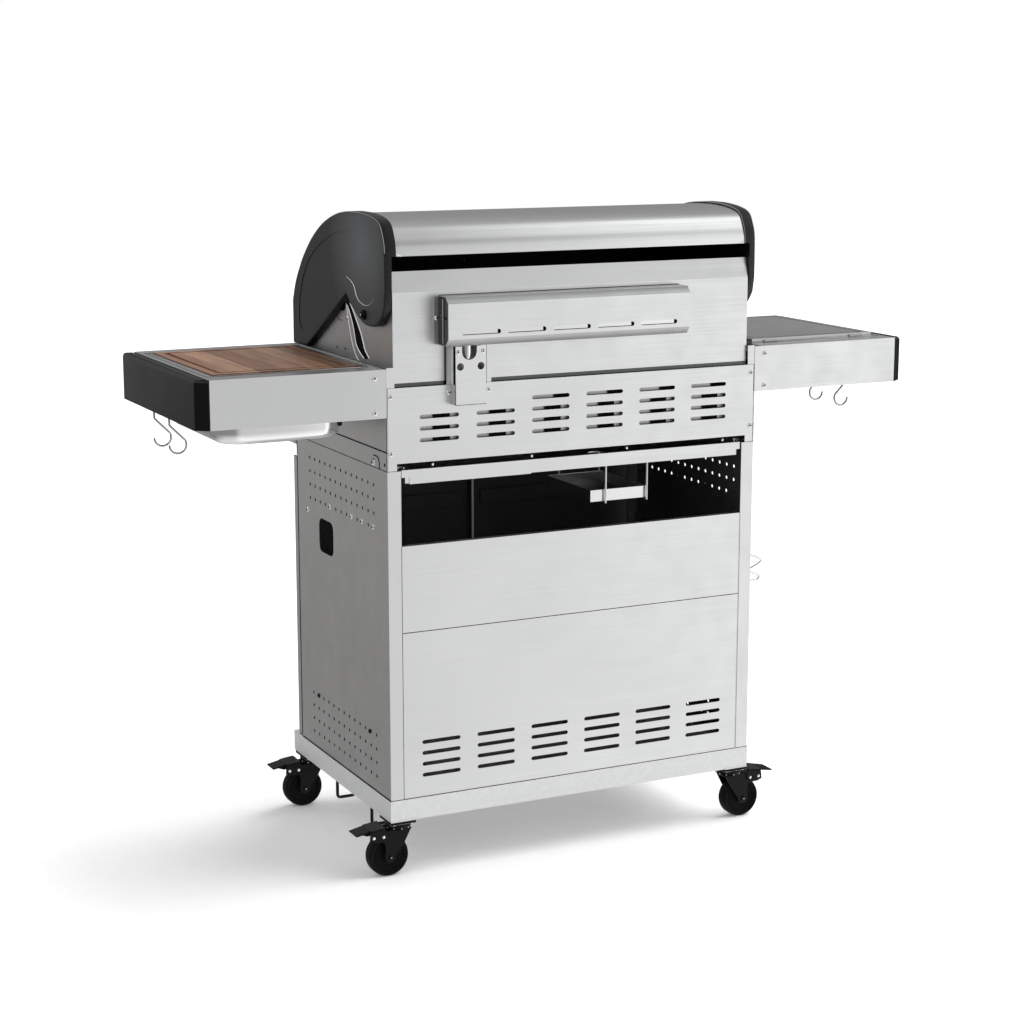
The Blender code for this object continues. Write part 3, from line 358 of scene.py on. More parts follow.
# A near-black copy of the steel, painted shade on the rear burner cover's top strip, ends and flange and on a
# strip behind the back.
SHADED_STEEL = steel("steel_shaded", (0.1, 0.105, 0.11), 0.3, "Z")
BURNT = plain_metal("burner_tube_steel", (0.36, 0.33, 0.3), 0.45, 30.0)
BRASS = plain_metal("brass_jet", (0.62, 0.42, 0.16), 0.28, 120.0)
WALNUT = walnut()
TILE = ceramic()
GLASS = glass()
DIAL = coated("dial_white", (0.72, 0.71, 0.68), 0.55, 900.0, 0.02, 0.0)


# ---------------------------------------------------------------- mesh helpers
def made(build):
    bm = bmesh.new()
    build(bm)
    bmesh.ops.recalc_face_normals(bm, faces=bm.faces)
    mesh = bpy.data.meshes.new("shape")
    bm.to_mesh(mesh)
    bm.free()
    return mesh


def block(low, high, bevel=0.0, segments=1):
    """A box between two corners, with all its edges bevelled if asked."""
    def build(bm):
        centre = [(a + b) / 2 for a, b in zip(low, high)]
        size = [abs(b - a) for a, b in zip(low, high)]
        matrix = Matrix.Translation(centre) @ Matrix.Diagonal((*size, 1.0))
        bmesh.ops.create_cube(bm, size=1.0, matrix=matrix)
        if bevel:
            bmesh.ops.bevel(bm, geom=bm.edges, offset=bevel, segments=segments, affect="EDGES",
                            clamp_overlap=True)
    return made(build)


def facing(point, normal, up="X"):
    """A matrix that puts local +Z along a normal at a point."""
    turn = Vector(normal).to_track_quat("Z", up).to_matrix().to_4x4()
    return Matrix.Translation(Vector(point)) @ turn


def lathe(profile, sides, matrix=None):
    """An open (radius, height) profile spun round Z and placed. A point on the axis closes it."""
    def build(bm):
        rings = []
        for radius, height in profile:
            if radius < 1e-7:
                rings.append([bm.verts.new((0, 0, height))])
                continue
            rings.append([
                bm.verts.new((radius * math.cos(2 * math.pi * i / sides),
                              radius * math.sin(2 * math.pi * i / sides), height))
                for i in range(sides)
            ])
        for low, high in zip(rings, rings[1:]):
            for i in range(sides):
                j = (i + 1) % sides
                if len(low) == 1 and len(high) == 1:
                    continue
                if len(low) == 1:
                    bm.faces.new((low[0], high[i], high[j]))
                elif len(high) == 1:
                    bm.faces.new((low[i], low[j], high[0]))
                else:
                    bm.faces.new((low[i], low[j], high[j], high[i]))
    mesh = made(build)
    if matrix is not None:
        mesh.transform(matrix)
    return mesh


def rod(start, end, radius, sides=16, bevel=0.0):
    """A round bar between two points, with its ends chamfered if asked."""
    start, end = Vector(start), Vector(end)
    length = (end - start).length
    profile = [(0, 0), (radius - bevel, 0), (radius, bevel), (radius, length - bevel),
               (radius - bevel, length), (0, length)]
    return lathe(profile, sides, facing(start, end - start))


TO_AXIS = {
    "X": Matrix(((0, 0, 1), (1, 0, 0), (0, 1, 0))).to_4x4(),
    "Y": Matrix(((1, 0, 0), (0, 0, -1), (0, 1, 0))).to_4x4(),
    "Z": Matrix.Identity(4),
}


def curve_mesh(curve):
    helper = bpy.data.objects.new("helper", curve)
    bpy.context.scene.collection.objects.link(helper)
    graph = bpy.context.evaluated_depsgraph_get()
    mesh = bpy.data.meshes.new_from_object(helper.evaluated_get(graph))
    bpy.data.objects.remove(helper, do_unlink=True)
    bpy.data.curves.remove(curve)
    bm = bmesh.new()
    bm.from_mesh(mesh)
    bmesh.ops.remove_doubles(bm, verts=bm.verts, dist=0.000004)
    bmesh.ops.recalc_face_normals(bm, faces=bm.faces)
    bm.to_mesh(mesh)
    bm.free()
    return mesh


def prism(axis, outlines, low, high):
    """Flat outlines, the inner ones holes, extruded along an axis."""
    curve = bpy.data.curves.new("outline", "CURVE")
    curve.dimensions = "2D"
    curve.fill_mode = "BOTH"
    curve.extrude = (high - low) / 2
    for outline in outlines:
        spline = curve.splines.new("POLY")
        spline.points.add(len(outline) - 1)
        for point, (u, v) in zip(spline.points, outline):
            point.co = (u, v, 0, 1)
        spline.use_cyclic_u = True
    mesh = curve_mesh(curve)
    mesh.transform(TO_AXIS[axis])
    along = {"X": (1, 0, 0), "Y": (0, 1, 0), "Z": (0, 0, 1)}[axis]
    mesh.transform(Matrix.Translation(Vector(along) * (low + high) / 2))
    return mesh


def filleted(points, radius, steps=4):
    """A polyline of 3-D points with its corners rounded."""
    points = [Vector(p) for p in points]
    path = [points[0]]
    for before, corner, after in zip(points, points[1:], points[2:]):
        to_before = before - corner
        to_after = after - corner
        reach = min(radius, to_before.length * 0.45, to_after.length * 0.45)
        start = corner + to_before.normalized() * reach
        end = corner + to_after.normalized() * reach
        for step in range(steps + 1):
            t = step / steps
            path.append(start * (1 - t) ** 2 + corner * 2 * t * (1 - t) + end * t * t)
    path.append(points[-1])
    return path


def wire(paths, radius, resolution=4, closed=False):
    """Round wires along 3-D points."""
    curve = bpy.data.curves.new("wire", "CURVE")
    curve.dimensions = "3D"
    curve.bevel_depth = radius
    curve.bevel_resolution = resolution
    curve.use_fill_caps = True
    for path in paths:
        spline = curve.splines.new("POLY")
        spline.points.add(len(path) - 1)
        for point, co in zip(spline.points, path):
            point.co = (*co, 1)
        spline.use_cyclic_u = closed
    return curve_mesh(curve)


def loft(loops, cap_first=True, cap_last=True):
    """Quads between closed loops of as many points, with flat ends."""
    def build(bm):
        rows = [[bm.verts.new(p) for p in loop] for loop in loops]
        count = len(rows[0])
        for low, high in zip(rows, rows[1:]):
            for i in range(count):
                j = (i + 1) % count
                bm.faces.new((low[i], low[j], high[j], high[i]))
        for row, wanted in ((rows[0], cap_first), (rows[-1], cap_last)):
            if wanted:
                edges = [bm.edges.get((row[i], row[(i + 1) % count])) for i in range(count)]
                bmesh.ops.triangle_fill(bm, edges=edges, use_beauty=True, use_dissolve=True)
    return made(build)


def rounded(u0, v0, u1, v1, radius, steps=4):
    """A rectangle with round corners, anticlockwise."""
    points = []
    for u, v, start in ((u1, v1, 0), (u0, v1, 90), (u0, v0, 180), (u1, v0, 270)):
        centre_u = u - math.copysign(radius, u - (u0 + u1) / 2)
        centre_v = v - math.copysign(radius, v - (v0 + v1) / 2)
        for step in range(steps + 1):
            angle = math.radians(start + 90 * step / steps)
            points.append((centre_u + radius * math.cos(angle), centre_v + radius * math.sin(angle)))
    return points


def circle(u, v, radius, sides=12):
    return arc(u, v, radius, 0, 360, sides)[:-1]


def arc(u, v, radius, start, end, steps):
    points = []
    for step in range(steps + 1):
        angle = math.radians(start + (end - start) * step / steps)
        points.append((u + radius * math.cos(angle), v + radius * math.sin(angle)))
    return points


def smooth(points, steps, closed=False):
    """A Catmull-Rom curve through 2-D points."""
    if closed:
        padded = [points[-1], *points, points[0], points[1]]
    else:
        padded = [points[0], *points, points[-1]]
    curve = []
    for p0, p1, p2, p3 in zip(padded, padded[1:], padded[2:], padded[3:]):
        for step in range(steps):
            t = step / steps
            curve.append(tuple(
                0.5 * (2 * b + (c - a) * t + (2 * a - 5 * b + 4 * c - d) * t * t
                       + (3 * b - a - 3 * c + d) * t ** 3)
                for a, b, c, d in zip(p0, p1, p2, p3)
            ))
    if not closed:
        curve.append(points[-1])
    return curve


def inset(points, distance, closed=False):
    """A line of points moved sideways, to the left of its direction, with mitred corners."""
    count = len(points)
    shifted = []
    for i, (u, v) in enumerate(points):
        before = points[(i - 1) % count] if closed else points[max(i - 1, 0)]
        after = points[(i + 1) % count] if closed else points[min(i + 1, count - 1)]
        one = Vector((u - before[0], v - before[1]))
        two = Vector((after[0] - u, after[1] - v))
        if one.length < 1e-9:
            one = two
        if two.length < 1e-9:
            two = one
        one.normalize()
        two.normalize()
        normal = Vector((-one.y - two.y, one.x + two.x))
        normal.normalize()
        stretch = min(1.6, 1 / max(0.3, normal.dot(Vector((-one.y, one.x)))))
        shifted.append((u + normal.x * distance * stretch, v + normal.y * distance * stretch))
    return shifted


def assemble(name, body, parts, replaces=(), angle=32):
    """Joins (mesh, material) pairs in one named piece that rides on a body."""
    bm = bmesh.new()
    looks = []
    for mesh, look in parts:
        if look not in looks:
            looks.append(look)
        start = len(bm.faces)
        bm.from_mesh(mesh)
        bm.faces.ensure_lookup_table()
        for face in bm.faces[start:]:
            face.material_index = looks.index(look)
        bpy.data.meshes.remove(mesh)
    mesh = bpy.data.meshes.new(name)
    bm.to_mesh(mesh)
    bm.free()
    for look in looks:
        mesh.materials.append(look)
    mesh.shade_smooth()
    mesh.set_sharp_from_angle(angle=math.radians(angle))
    obj = bpy.data.objects.new(name, mesh)
    bpy.context.scene.collection.objects.link(obj)
    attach(obj, body)
    if replaces:
        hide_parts(*replaces)
    return obj


def strips(look, side, corners):
    """Boxes of one material, given for the +X side: (mesh, material) pairs."""
    return [(sided(block(low, high), side), look) for low, high in corners]


def moved(mesh, matrix):
    mesh.transform(matrix)
    return mesh


def flipped(mesh):
    """Mirrored to the -X side, with its faces turned back."""
    mesh.transform(Matrix.Diagonal((-1, 1, 1, 1)))
    mesh.flip_normals()
    return mesh


def sided(mesh, side):
    return mesh if side > 0 else flipped(mesh)


def screw_head(point, normal, radius, turn=0.0, look=BRIGHT):
    """A pan-head screw with a crossed recess, drawn as black bars painted as its shade: (mesh, material)
    pairs.
    """
    dome = [(radius, 0.0), (radius, radius * 0.16), (radius * 0.86, radius * 0.36),
            (radius * 0.58, radius * 0.5), (0.0, radius * 0.56)]
    matrix = facing(point, normal) @ Matrix.Rotation(turn, 4, "Z")
    top = radius * 0.57
    long, wide = radius * 0.52, radius * 0.13
    pairs = [(lathe(dome, 16, matrix), look)]
    for half in ((long, wide), (wide, long)):
        mesh = block((-half[0], -half[1], top - radius * 0.25), (half[0], half[1], top))
        pairs.append((moved(mesh, matrix), SHADE_BLACK))
    return pairs


def rivet(point, normal, radius):
    dome = [(radius * out, radius * up) for out, up in ((1, 0), (0.92, 0.3), (0.6, 0.55), (0, 0.62))]
    return [(lathe(dome, 14, facing(point, normal)), BRIGHT)]


# ---------------------------------------------------------------- cabinet sides
def side_panels():
    """The perforated side sheets with their folded flanges, and inner faces painted dark as shade."""
    columns = [0.177 - 0.0255 * i for i in range(13)]
    rows = [0.696 - 0.0252 * i for i in range(4)] + [0.246 - 0.0252 * i for i in range(4)]
    x = HALF_W
    for name, side in SIDES:
        outline = [(SIDE_FRONT, SIDE_LOW), (REAR, SIDE_LOW), (REAR, SIDE_HIGH), (SIDE_FRONT, SIDE_HIGH)]
        lining = [(-0.1908, 0.1426), (0.2388, 0.1426), (0.2388, 0.7267), (-0.1908, 0.7267)]
        fold = [(x - 0.0007, 0.2393, z) for z in (SIDE_LOW, SIDE_HIGH)]
        holes = [circle(y, z, 0.0034, 8) for y in columns for z in rows]
        if side > 0:
            holes.append(rounded(-0.087, 0.528, -0.016, 0.591, 0.014))
        parts = [
            (sided(prism("X", [outline, *holes], x - 0.0003, x), side), SIDE_STEEL),
            # The inner face is a dark sheet painted as shade.
            (sided(prism("X", [lining, *holes], x - SHEET, x - 0.0003), side), INSIDE_SHADE),
            *strips(POST_STEEL, side, (
                ((x - 0.025, 0.2388, SIDE_LOW), (x - 0.0004, REAR, SIDE_HIGH)),
                ((x - 0.02, SIDE_FRONT, SIDE_LOW), (x - 0.0004, -0.1908, SIDE_HIGH)))),
            (sided(rod(*fold, 0.0007, 10), side), POST_STEEL),
        ]
        if side < 0:
            upper = [(-0.3643, 0.19, 0.511), (-0.412, 0.19, 0.4945), (-0.4225, 0.19, 0.488),
                     (-0.414, 0.19, 0.4815), (-0.3643, 0.19, 0.461)]
            lower = [(-0.3643, 0.183, 0.4755), (-0.398, 0.183, 0.4665), (-0.4225, 0.183, 0.4565),
                     (-0.4185, 0.183, 0.449), (-0.399, 0.183, 0.4488), (-0.3643, 0.183, 0.4625)]
            parts.append((wire([filleted(upper, 0.006), filleted(lower, 0.007)], 0.002), CHROME))
        assemble(f"side_sheet_{name}", "cabinet", parts, [f"side_panel_{name}"])

    screws = []
    upper = ((-0.143, 0.5955), (-0.0295, 0.6204), (0.0735, 0.621), (0.1235, 0.6215), (0.1745, 0.6212))
    for y, z in upper:
        screws += screw_head((HALF_W, y, z), (1, 0, 0), 0.0048, 0.5)
    for y, z in ((0.147, 0.245), (-0.103, 0.246)):
        screws += screw_head((HALF_W, y, z), (1, 0, 0), 0.0045, 0.2, PAINT)
        screws += screw_head((-HALF_W, y, z), (-1, 0, 0), 0.0045, 0.2, PAINT)
    for y, z in ((-0.0295, 0.6204), (0.0735, 0.621), (0.1745, 0.6212)):
        screws += screw_head((-HALF_W, y, z), (-1, 0, 0), 0.0048, 0.5)
    assemble("side_screws", "cabinet", screws)


def runner_ledges():
    """Ledges inside the side sheets, just under the row of side screws, and a strip between the +X ones, all
    painted dark as shade.
    """
    parts = []
    for _, side in SIDES:
        parts += strips(INSIDE_SHADE, side, [((0.344, y, 0.61), (0.3634, y + 0.018, 0.6112))
                                           for y in (-0.15, 0.13)])
    parts.append((block((0.344, -0.15, 0.61), (0.3634, 0.148, 0.6104)), INSIDE_SHADE))
    assemble("inner_brackets", "cabinet", parts)


# ---------------------------------------------------------------- lid
def lid_line():
    """The lid's outer line in Y and Z, from the lower rear edge over the top to the lower front."""
    points = [(0.2362, 1.03), (0.2355, 1.0908), (0.2285, 1.123), (0.205, 1.149),
              (0.13, 1.159), (0.037, 1.1548), (-0.0352, 1.1367), (-0.0893, 1.1112),
              (-0.1315, 1.081), (-0.1645, 1.0495), (-0.19, 1.0168), (-0.2065, 0.982),
              (-0.207, 0.901)]
    return [(y, min(z, LID_TOP)) for y, z in smooth(points[:-1], 7)] + [points[-1]]


def lid_shell():
    """Rolled steel with a hemmed lower rear edge; its inside is painted dark as shade."""
    line = lid_line()
    above = [point for point in line if point[1] > LID_REAR_EDGE or point[0] < 0]
    outer = inset(above, 0.0033)
    inner = inset(above, 0.0045)
    outer[-1] = (outer[-1][0], 0.905)
    inner[-1] = (inner[-1][0], 0.905)
    edge = CAP_IN - 0.0004
    hem = inset(above[:4], 0.0024)
    hem_in = inset(above[:4], 0.0044)
    parts = [
        (prism("X", [outer + inner[::-1]], -edge, edge), LID_STEEL),
        (prism("X", [inset(above, 0.0046) + inset(above, 0.005)[::-1]], -edge, edge), INSIDE_SHADE),
        (prism("X", [hem + hem_in[::-1]], -RIM_IN + 0.0006, RIM_IN - 0.0006), LID_STEEL),
    ]
    for _, side in SIDES:
        start = (side * (RIM_IN - 0.0102), hem[0][0] - 0.0005, hem[0][1] + 0.0003)
        end = (side * (RIM_IN - 0.0006), start[1], start[2] + 0.004)
        parts.append((rod(start, end, 0.001, 8), LID_STEEL))
    assemble("lid_rolled_sheet", "lid", parts, ["lid_shell"], 25)


def lid_caps():
    """The end castings: rounded edges, a sunk panel with sloping sides, a rim over the steel, a bolt; bright
    wires along the crease and edges are painted highlights, and a bright dome on the bolt is a painted glint.
    """
    line = lid_line()
    notch = [(-0.172, 0.899), (-0.14, 0.9007), (0.056, 1.0115), (0.06, 1.0135),
             (0.064, 1.0115), (0.079, 0.9995), (0.102, 0.9845), (0.124, 0.974),
             (0.147, 0.968), (0.184, 0.969), (0.213, 0.98), (0.231, 1.002)]
    outline = line + notch[:3] + smooth(notch[2:], 3)[1:]
    panel = [(-0.1567, 0.9314), (-0.1708, 0.9422), (-0.1725, 0.9605), (-0.1665, 0.9918),
             (-0.1474, 1.03), (-0.1117, 1.0659), (-0.0606, 1.0933), (-0.0031, 1.1133),
             (0.0447, 1.1235), (0.0912, 1.1269), (0.1364, 1.1249), (0.1734, 1.1216),
             (0.1951, 1.1166), (0.204, 1.106), (0.2057, 1.0806), (0.2041, 1.0525),
             (0.1984, 1.0324), (0.1885, 1.0189), (0.1735, 1.0082), (0.1548, 1.0031),
             (0.1361, 1.0042), (0.1174, 1.0097), (0.1064, 1.0188), (0.0992, 1.0311),
             (0.0842, 1.0399), (0.0651, 1.0455), (0.0455, 1.0446), (0.0296, 1.0398),
             (0.009, 1.019), (-0.0324, 0.9917), (-0.0916, 0.9607), (-0.1307, 0.9371)]
    panel = smooth(panel, 3, closed=True)
    above = [point for point in line if point[1] > LID_REAR_EDGE or point[0] < 0]

    def loop(points, x):
        return [(x, u, v) for u, v in points]

    for name, side in SIDES:
        steps = [(0.0, CAP_IN), (0.0, CAP_OUT - 0.0035), (0.0007, CAP_OUT - 0.0015),
                 (0.002, CAP_OUT - 0.0003), (0.0035, CAP_OUT)]
        loops = [loop(inset(outline, d, True), x) for d, x in steps]
        shell = loft(loops, True, False)
        face_edge = inset(outline, 0.0035, True)
        sunk = inset(panel, 0.0024, True)

        def face(bm):
            rings = []
            for points in (face_edge, panel):
                verts = [bm.verts.new((CAP_OUT, u, v)) for u, v in points]
                rings += [bm.edges.new(pair) for pair in zip(verts, verts[1:] + verts[:1])]
            bmesh.ops.triangle_fill(bm, edges=rings, use_beauty=True, use_dissolve=False)
            bmesh.ops.recalc_face_normals(bm, faces=bm.faces)
            bm.normal_update()
            if sum(f.normal.x for f in bm.faces) < 0:
                bmesh.ops.reverse_faces(bm, faces=bm.faces)
        outer_face = made(face)
        if sum(p.normal.x for p in outer_face.polygons) < 0:
            outer_face.flip_normals()
        slope = loft([loop(panel, CAP_OUT), loop(inset(panel, 0.0007, True), CAP_OUT - 0.0003),
                      loop(inset(panel, 0.0016, True), CAP_OUT - 0.0008), loop(sunk, CAP_OUT - 0.0009)],
                     False, False)
        floor = prism("X", [sunk], CAP_OUT - 0.0014, CAP_OUT - 0.0009)
        rim = prism("X", [above + inset(above, 0.003)[::-1]], RIM_IN, CAP_IN + 0.0005)
        pairs = [(shell, CASTING_RIM), (outer_face, CASTING), (slope, CASTING), (floor, CASTING),
                 (rim, CASTING_RIM)]
        # The swirl, crest and seat wires are painted highlights.
        swirl = smooth([(0.0651, 1.0448), (0.0842, 1.0392), (0.0992, 1.0304), (0.1064, 1.0181),
                        (0.1174, 1.009), (0.1361, 1.0035), (0.1548, 1.0024), (0.1735, 1.0075),
                        (0.1885, 1.0182)], 5)
        crest = [point for point in inset(line, 0.0012) if 0.03 < point[0] and point[1] > 1.095]
        seat = [point for point in inset(line, 0.0006) if 0.03 < point[0] and point[1] > LID_REAR_EDGE]
        for x, path, radius, look in ((CAP_OUT - 0.0003, swirl, 0.0008, BRIGHT),
                                      (CAP_OUT - 0.0009, crest, 0.0005, EDGE),
                                      (RIM_IN + 0.0002, seat, 0.0006, EDGE)):
            pairs.append((wire([loop(path, x)], radius, 2), look))
        bolt = [(0.0086, -0.001), (0.0086, 0.0042), (0.0078, 0.0048), (0, 0.0048)]
        hexagon = [(0.0055, 0.0044), (0.0055, 0.0064), (0.0046, 0.007), (0, 0.007)]
        at = facing((CAP_OUT, HINGE.y, HINGE.z), (1, 0, 0))
        pairs += [(lathe(bolt, 24, at), PAINT), (lathe(hexagon, 6, at), PAINT)]
        # A bright dome on the black bolt: a painted glint.
        pairs += rivet((CAP_OUT + 0.0069, HINGE.y, HINGE.z), (1, 0, 0), 0.0016)
        assemble(f"lid_casting_{name}", "lid", [(sided(m, side), look) for m, look in pairs],
                 [f"lid_cap_{name}"], 28)


def lid_front():
    """The bar handle with its end caps and posts, and the thermometer."""
    bar_y, bar_z = -0.2625, 0.955
    parts = [(rod((-0.262, bar_y, bar_z), (0.262, bar_y, bar_z), 0.0119, 28), LID_STEEL)]
    for _, side in SIDES:
        end = [(side * x, bar_y, bar_z) for x in (0.262, 0.285)]
        parts.append((rod(*end, 0.012, 28, 0.002), CASTING_RIM))
        base = facing((side * 0.255, -0.204, bar_z), (0, -1, 0))
        profile = [(0.0, 0.0), (0.016, 0.0), (0.016, 0.002), (0.013, 0.005), (0.0088, 0.009),
                   (0.0082, 0.03), (0.01, 0.048), (0.0, 0.052)]
        parts.append((lathe(profile, 24, base), CASTING_RIM))
    assemble("lid_bar_handle", "lid", parts, ["lid_handle"])

    low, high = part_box("lid_thermometer")
    centre = Vector([(a + b) / 2 for a, b in zip(low, high)])
    line = lid_line()
    near = min(range(len(line) - 1), key=lambda i: abs(line[i][0] - centre.y) + abs(line[i][1] - centre.z))
    before, after = line[near - 1], line[near + 1]
    along = Vector((0, after[0] - before[0], after[1] - before[1])).normalized()
    normal = Vector((0, along.z, -along.y))
    if normal.z < 0:
        normal = -normal
    seat = centre - normal * 0.0052
    at = facing(seat, normal, "X")
    bezel = [(0.034, -0.002), (0.0368, 0.0), (0.0368, 0.007), (0.035, 0.01), (0.0325, 0.0105),
             (0.0312, 0.008), (0.031, 0.0055)]
    parts = [(lathe(bezel, 48, at), CHROME),
             (lathe([(0.0, 0.005), (0.0312, 0.005), (0.0312, 0.0056), (0, 0.0056)], 48, at), DIAL),
             (lathe([(0.0, 0.0086), (0.0311, 0.0086), (0.0311, 0.0092), (0, 0.0092)], 48, at), GLASS),
             (lathe([(0.0, 0.005), (0.0028, 0.005), (0.0028, 0.0068), (0, 0.0074)], 16, at), PAINT)]
    for index in range(31):
        angle = math.radians(225 - 9 * index)
        long = 0.0045 if index % 5 == 0 else 0.0024
        tick = block((0.027 - long, -0.00035, 0.0055), (0.027, 0.00035, 0.0059))
        parts.append((moved(tick, at @ Matrix.Rotation(angle, 4, "Z")), PAINT))
    needle = block((-0.004, -0.0006, 0.0062), (0.0215, 0.0006, 0.0067))
    parts.append((moved(needle, at @ Matrix.Rotation(math.radians(215), 4, "Z")), PAINT))
    assemble("lid_dial", "lid", parts, ["lid_thermometer"])


# ---------------------------------------------------------------- firebox and rear burner
def firebox_details():
    """Pressed ribs, holes, the spit notch, a screw and the lid's pivot on the raised sides. The ribs are
    bright wires, painted highlights; the channel between them, the notch, the holes and a short line are
    black shapes, painted shade.
    """
    rib_one = [(0.0226, 1.0033), (0.0368, 0.9861), (0.0527, 0.9654), (0.0618, 0.9479), (0.0708, 0.9267),
               (0.0878, 0.9138), (0.1067, 0.9049)]
    rib_two = [(0.034, 1.0045), (0.056, 0.987), (0.0687, 0.9743), (0.0817, 0.9609), (0.0938, 0.9475),
               (0.1029, 0.9338), (0.112, 0.9202), (0.1306, 0.9077)]
    rib_edge = [(0.0226, 1.0033), (0.029, 0.9855), (0.0374, 0.9613), (0.0495, 0.9326), (0.0658, 0.9094),
                (0.0811, 0.899)]
    for label, side in SIDES:
        x = side * BOX_SIDE
        parts = []
        for rib, radius in ((rib_edge, 0.001), (rib_one, 0.0016), (rib_two, 0.0016)):
            path = [(x - side * radius * 0.35, y, z) for y, z in smooth(rib, 4)]
            parts.append((wire([path], radius, 4), BRIGHT))
        channel = smooth(rib_one, 4) + smooth(rib_two, 4)[::-1]
        notch = rounded(-0.0035, 0.98, 0.0215, 1.0035, 0.008, 4)
        holes = [circle(y, z, 0.0024) for y, z in ((-0.0195, 0.9124), (0.0189, 0.9131))]
        for outline, proud in ((channel, 0.0002), (notch, 0.0003), (holes[0], 0.0003), (holes[1], 0.0003)):
            flat = prism("X", [outline], BOX_SIDE - 0.0004, BOX_SIDE + proud)
            parts.append((sided(flat, side), SHADE_BLACK))
        mark = smooth([(-0.0204, 0.97), (-0.015, 0.966), (-0.006, 0.9625), (0.0073, 0.9622)], 4)
        parts.append((wire([[(x + side * 0.0002, y, z) for y, z in mark]], 0.0006, 2), SHADE_BLACK))
        parts += screw_head((x, 0.0312, 0.969), (side, 0, 0), 0.004)
        parts.append((rod((x, HINGE.y, HINGE.z), (side * CAP_IN, HINGE.y, HINGE.z), 0.007, 20), BRIGHT))
        assemble(f"firebox_side_{label}", "cabinet", parts)


def rear_burner():
    """The folded cover with its screwed end flange, the tile burner and its shiny inlet pipe."""
    left, right = -0.205, 0.265
    base = 0.234
    top = [(base, 1.0225), (0.2648, 1.0225), (0.2655, 1.0222)]
    nose = 0.2745
    inner = nose - SHEET
    nose_top = [(nose - 0.0003, 1.0122), (nose, 1.0113)]
    nose_low = [(nose, 0.9512), (nose - 0.0003, 0.9503)]
    sill = [(0.2655, 0.9388), (0.2648, 0.9385), (base, 0.9385)]
    slots = []
    parts = []
    for index in range(5):
        x = 0.031 + 0.0866 * (index - 2)
        slots.append(rounded(x - 0.037, 0.9576, x + 0.037, 0.9654, 0.0038, 4))
        near = inner - 0.0001
        # Behind each slot a steel strip; the black block at its left end and the dark strip along its bottom
        # are painted shade.
        behind = ((LID_STEEL, (x - 0.033, inner - 0.0021, 0.957), (x + 0.037, inner - 0.0013, 0.966)),
                  (SHADE_BLACK, (x - 0.0375, inner - 0.0025, 0.9572), (x - 0.0325, near, 0.9658)),
                  (INSIDE_SHADE, (x - 0.0375, inner - 0.0015, 0.9572), (x + 0.0375, near, 0.9586)))
        parts += [(block(low, high), look) for look, low, high in behind]
    face_low, face_high = 0.9512, 1.0113
    rectangle = [(left, face_low), (right, face_low), (right, face_high), (left, face_high)]
    upper_fold = top + nose_top + [(inner, face_high), (0.2643, 1.0213), (base, 1.0213)]
    lower_fold = nose_low + sill + [(base, 0.9397), (0.2643, 0.9397), (inner, face_low)]
    # The cover's folds are darker copies of its steel: painted shade.
    parts.append((prism("X", [upper_fold], left, right), DIMMED_STEEL))
    parts.append((prism("X", [lower_fold], left, right), DARK_STEEL))
    parts.append((prism("Y", [rectangle, *slots], inner, nose), REAR_STEEL))
    # The near-black top strip, end walls and flange block are painted shade; the thin bright rods, wire and
    # strip along the edges are painted highlights.
    parts.append((block((left, base, 1.0225), (right, base + 0.0007, 1.0237)), SHADED_STEEL))
    parts.append((rod((left + 0.001, 0.2652, 1.0222), (right - 0.001, 0.2652, 1.0222), 0.0004, 8), BRIGHT))
    end_face = [(base, 0.9385), (0.2648, 0.9385), (nose, 0.9507), (nose, 1.0118), (0.2648, 1.0225),
                (base, 1.0225)]
    for start, end in ((right - SHEET, right - 0.0002), (left + 0.0002, left + SHEET)):
        parts.append((prism("X", [inset(end_face, 0.0004, True)], start, end), SHADED_STEEL))
    rim = [[(right + 0.0001, y, z) for y, z in inset(end_face[1:5], 0.0009)]]
    parts.append((wire(rim, 0.0005, 2), BRIGHT))
    parts.append((block((right - 0.0002, base, 0.943), (right + 0.0012, 0.254, 1.018)), SHADED_STEEL))
    parts.append((rod((right + 0.0012, 0.254, 0.943), (right + 0.0012, 0.254, 1.018), 0.0007, 8), BRIGHT))
    parts.append((block((right, base, 0.94), (right + 0.0085, base + 0.0012, 1.021)), DARK_STEEL))
    parts.append((block((right + 0.0085, base, 0.94), (right + 0.0093, base + 0.0013, 1.021)), BRIGHT))
    # A black disc painted as the shade in a hole.
    parts.append((prism("X", [circle(0.263, 0.986, 0.0026)], right, right + 0.0003), SHADE_BLACK))
    parts += screw_head((right + 0.0048, base + 0.0012, 0.985), (0, 1, 0), 0.0042)
    assemble("rear_burner_housing", "cabinet", parts, ["rear_burner_cover"])

    pipe_x, pipe_y = 0.219, 0.2475
    body = block((-0.185, 0.242, 0.943), (0.245, 0.26, 1.013), 0.002)
    rim = prism("Y", [[(-0.185, 0.943), (0.245, 0.943), (0.245, 1.013), (-0.185, 1.013)],
                      [(-0.175, 0.952), (0.235, 0.952), (0.235, 1.0), (-0.175, 1.0)]], 0.2362, 0.2425)
    tile = block((-0.175, 0.24, 0.952), (0.235, 0.2421, 1.0))
    profile = [(0.0066, 0.0), (0.008, 0.0), (0.008, 0.01), (0.0072, 0.013), (0.0072, 0.033),
               (0.008, 0.038), (0.008, 0.06)]
    pipe = lathe(profile, 28, Matrix.Translation((pipe_x, pipe_y, 0.885)))
    jet = rod((pipe_x, pipe_y, 0.885), (pipe_x, pipe_y, 0.899), 0.005, 6)
    parts = [(body, IRON), (rim, IRON), (tile, TILE), (pipe, CHROME), (jet, BRASS)]
    assemble("rear_burner_tile", "cabinet", parts, ["rear_burner"])


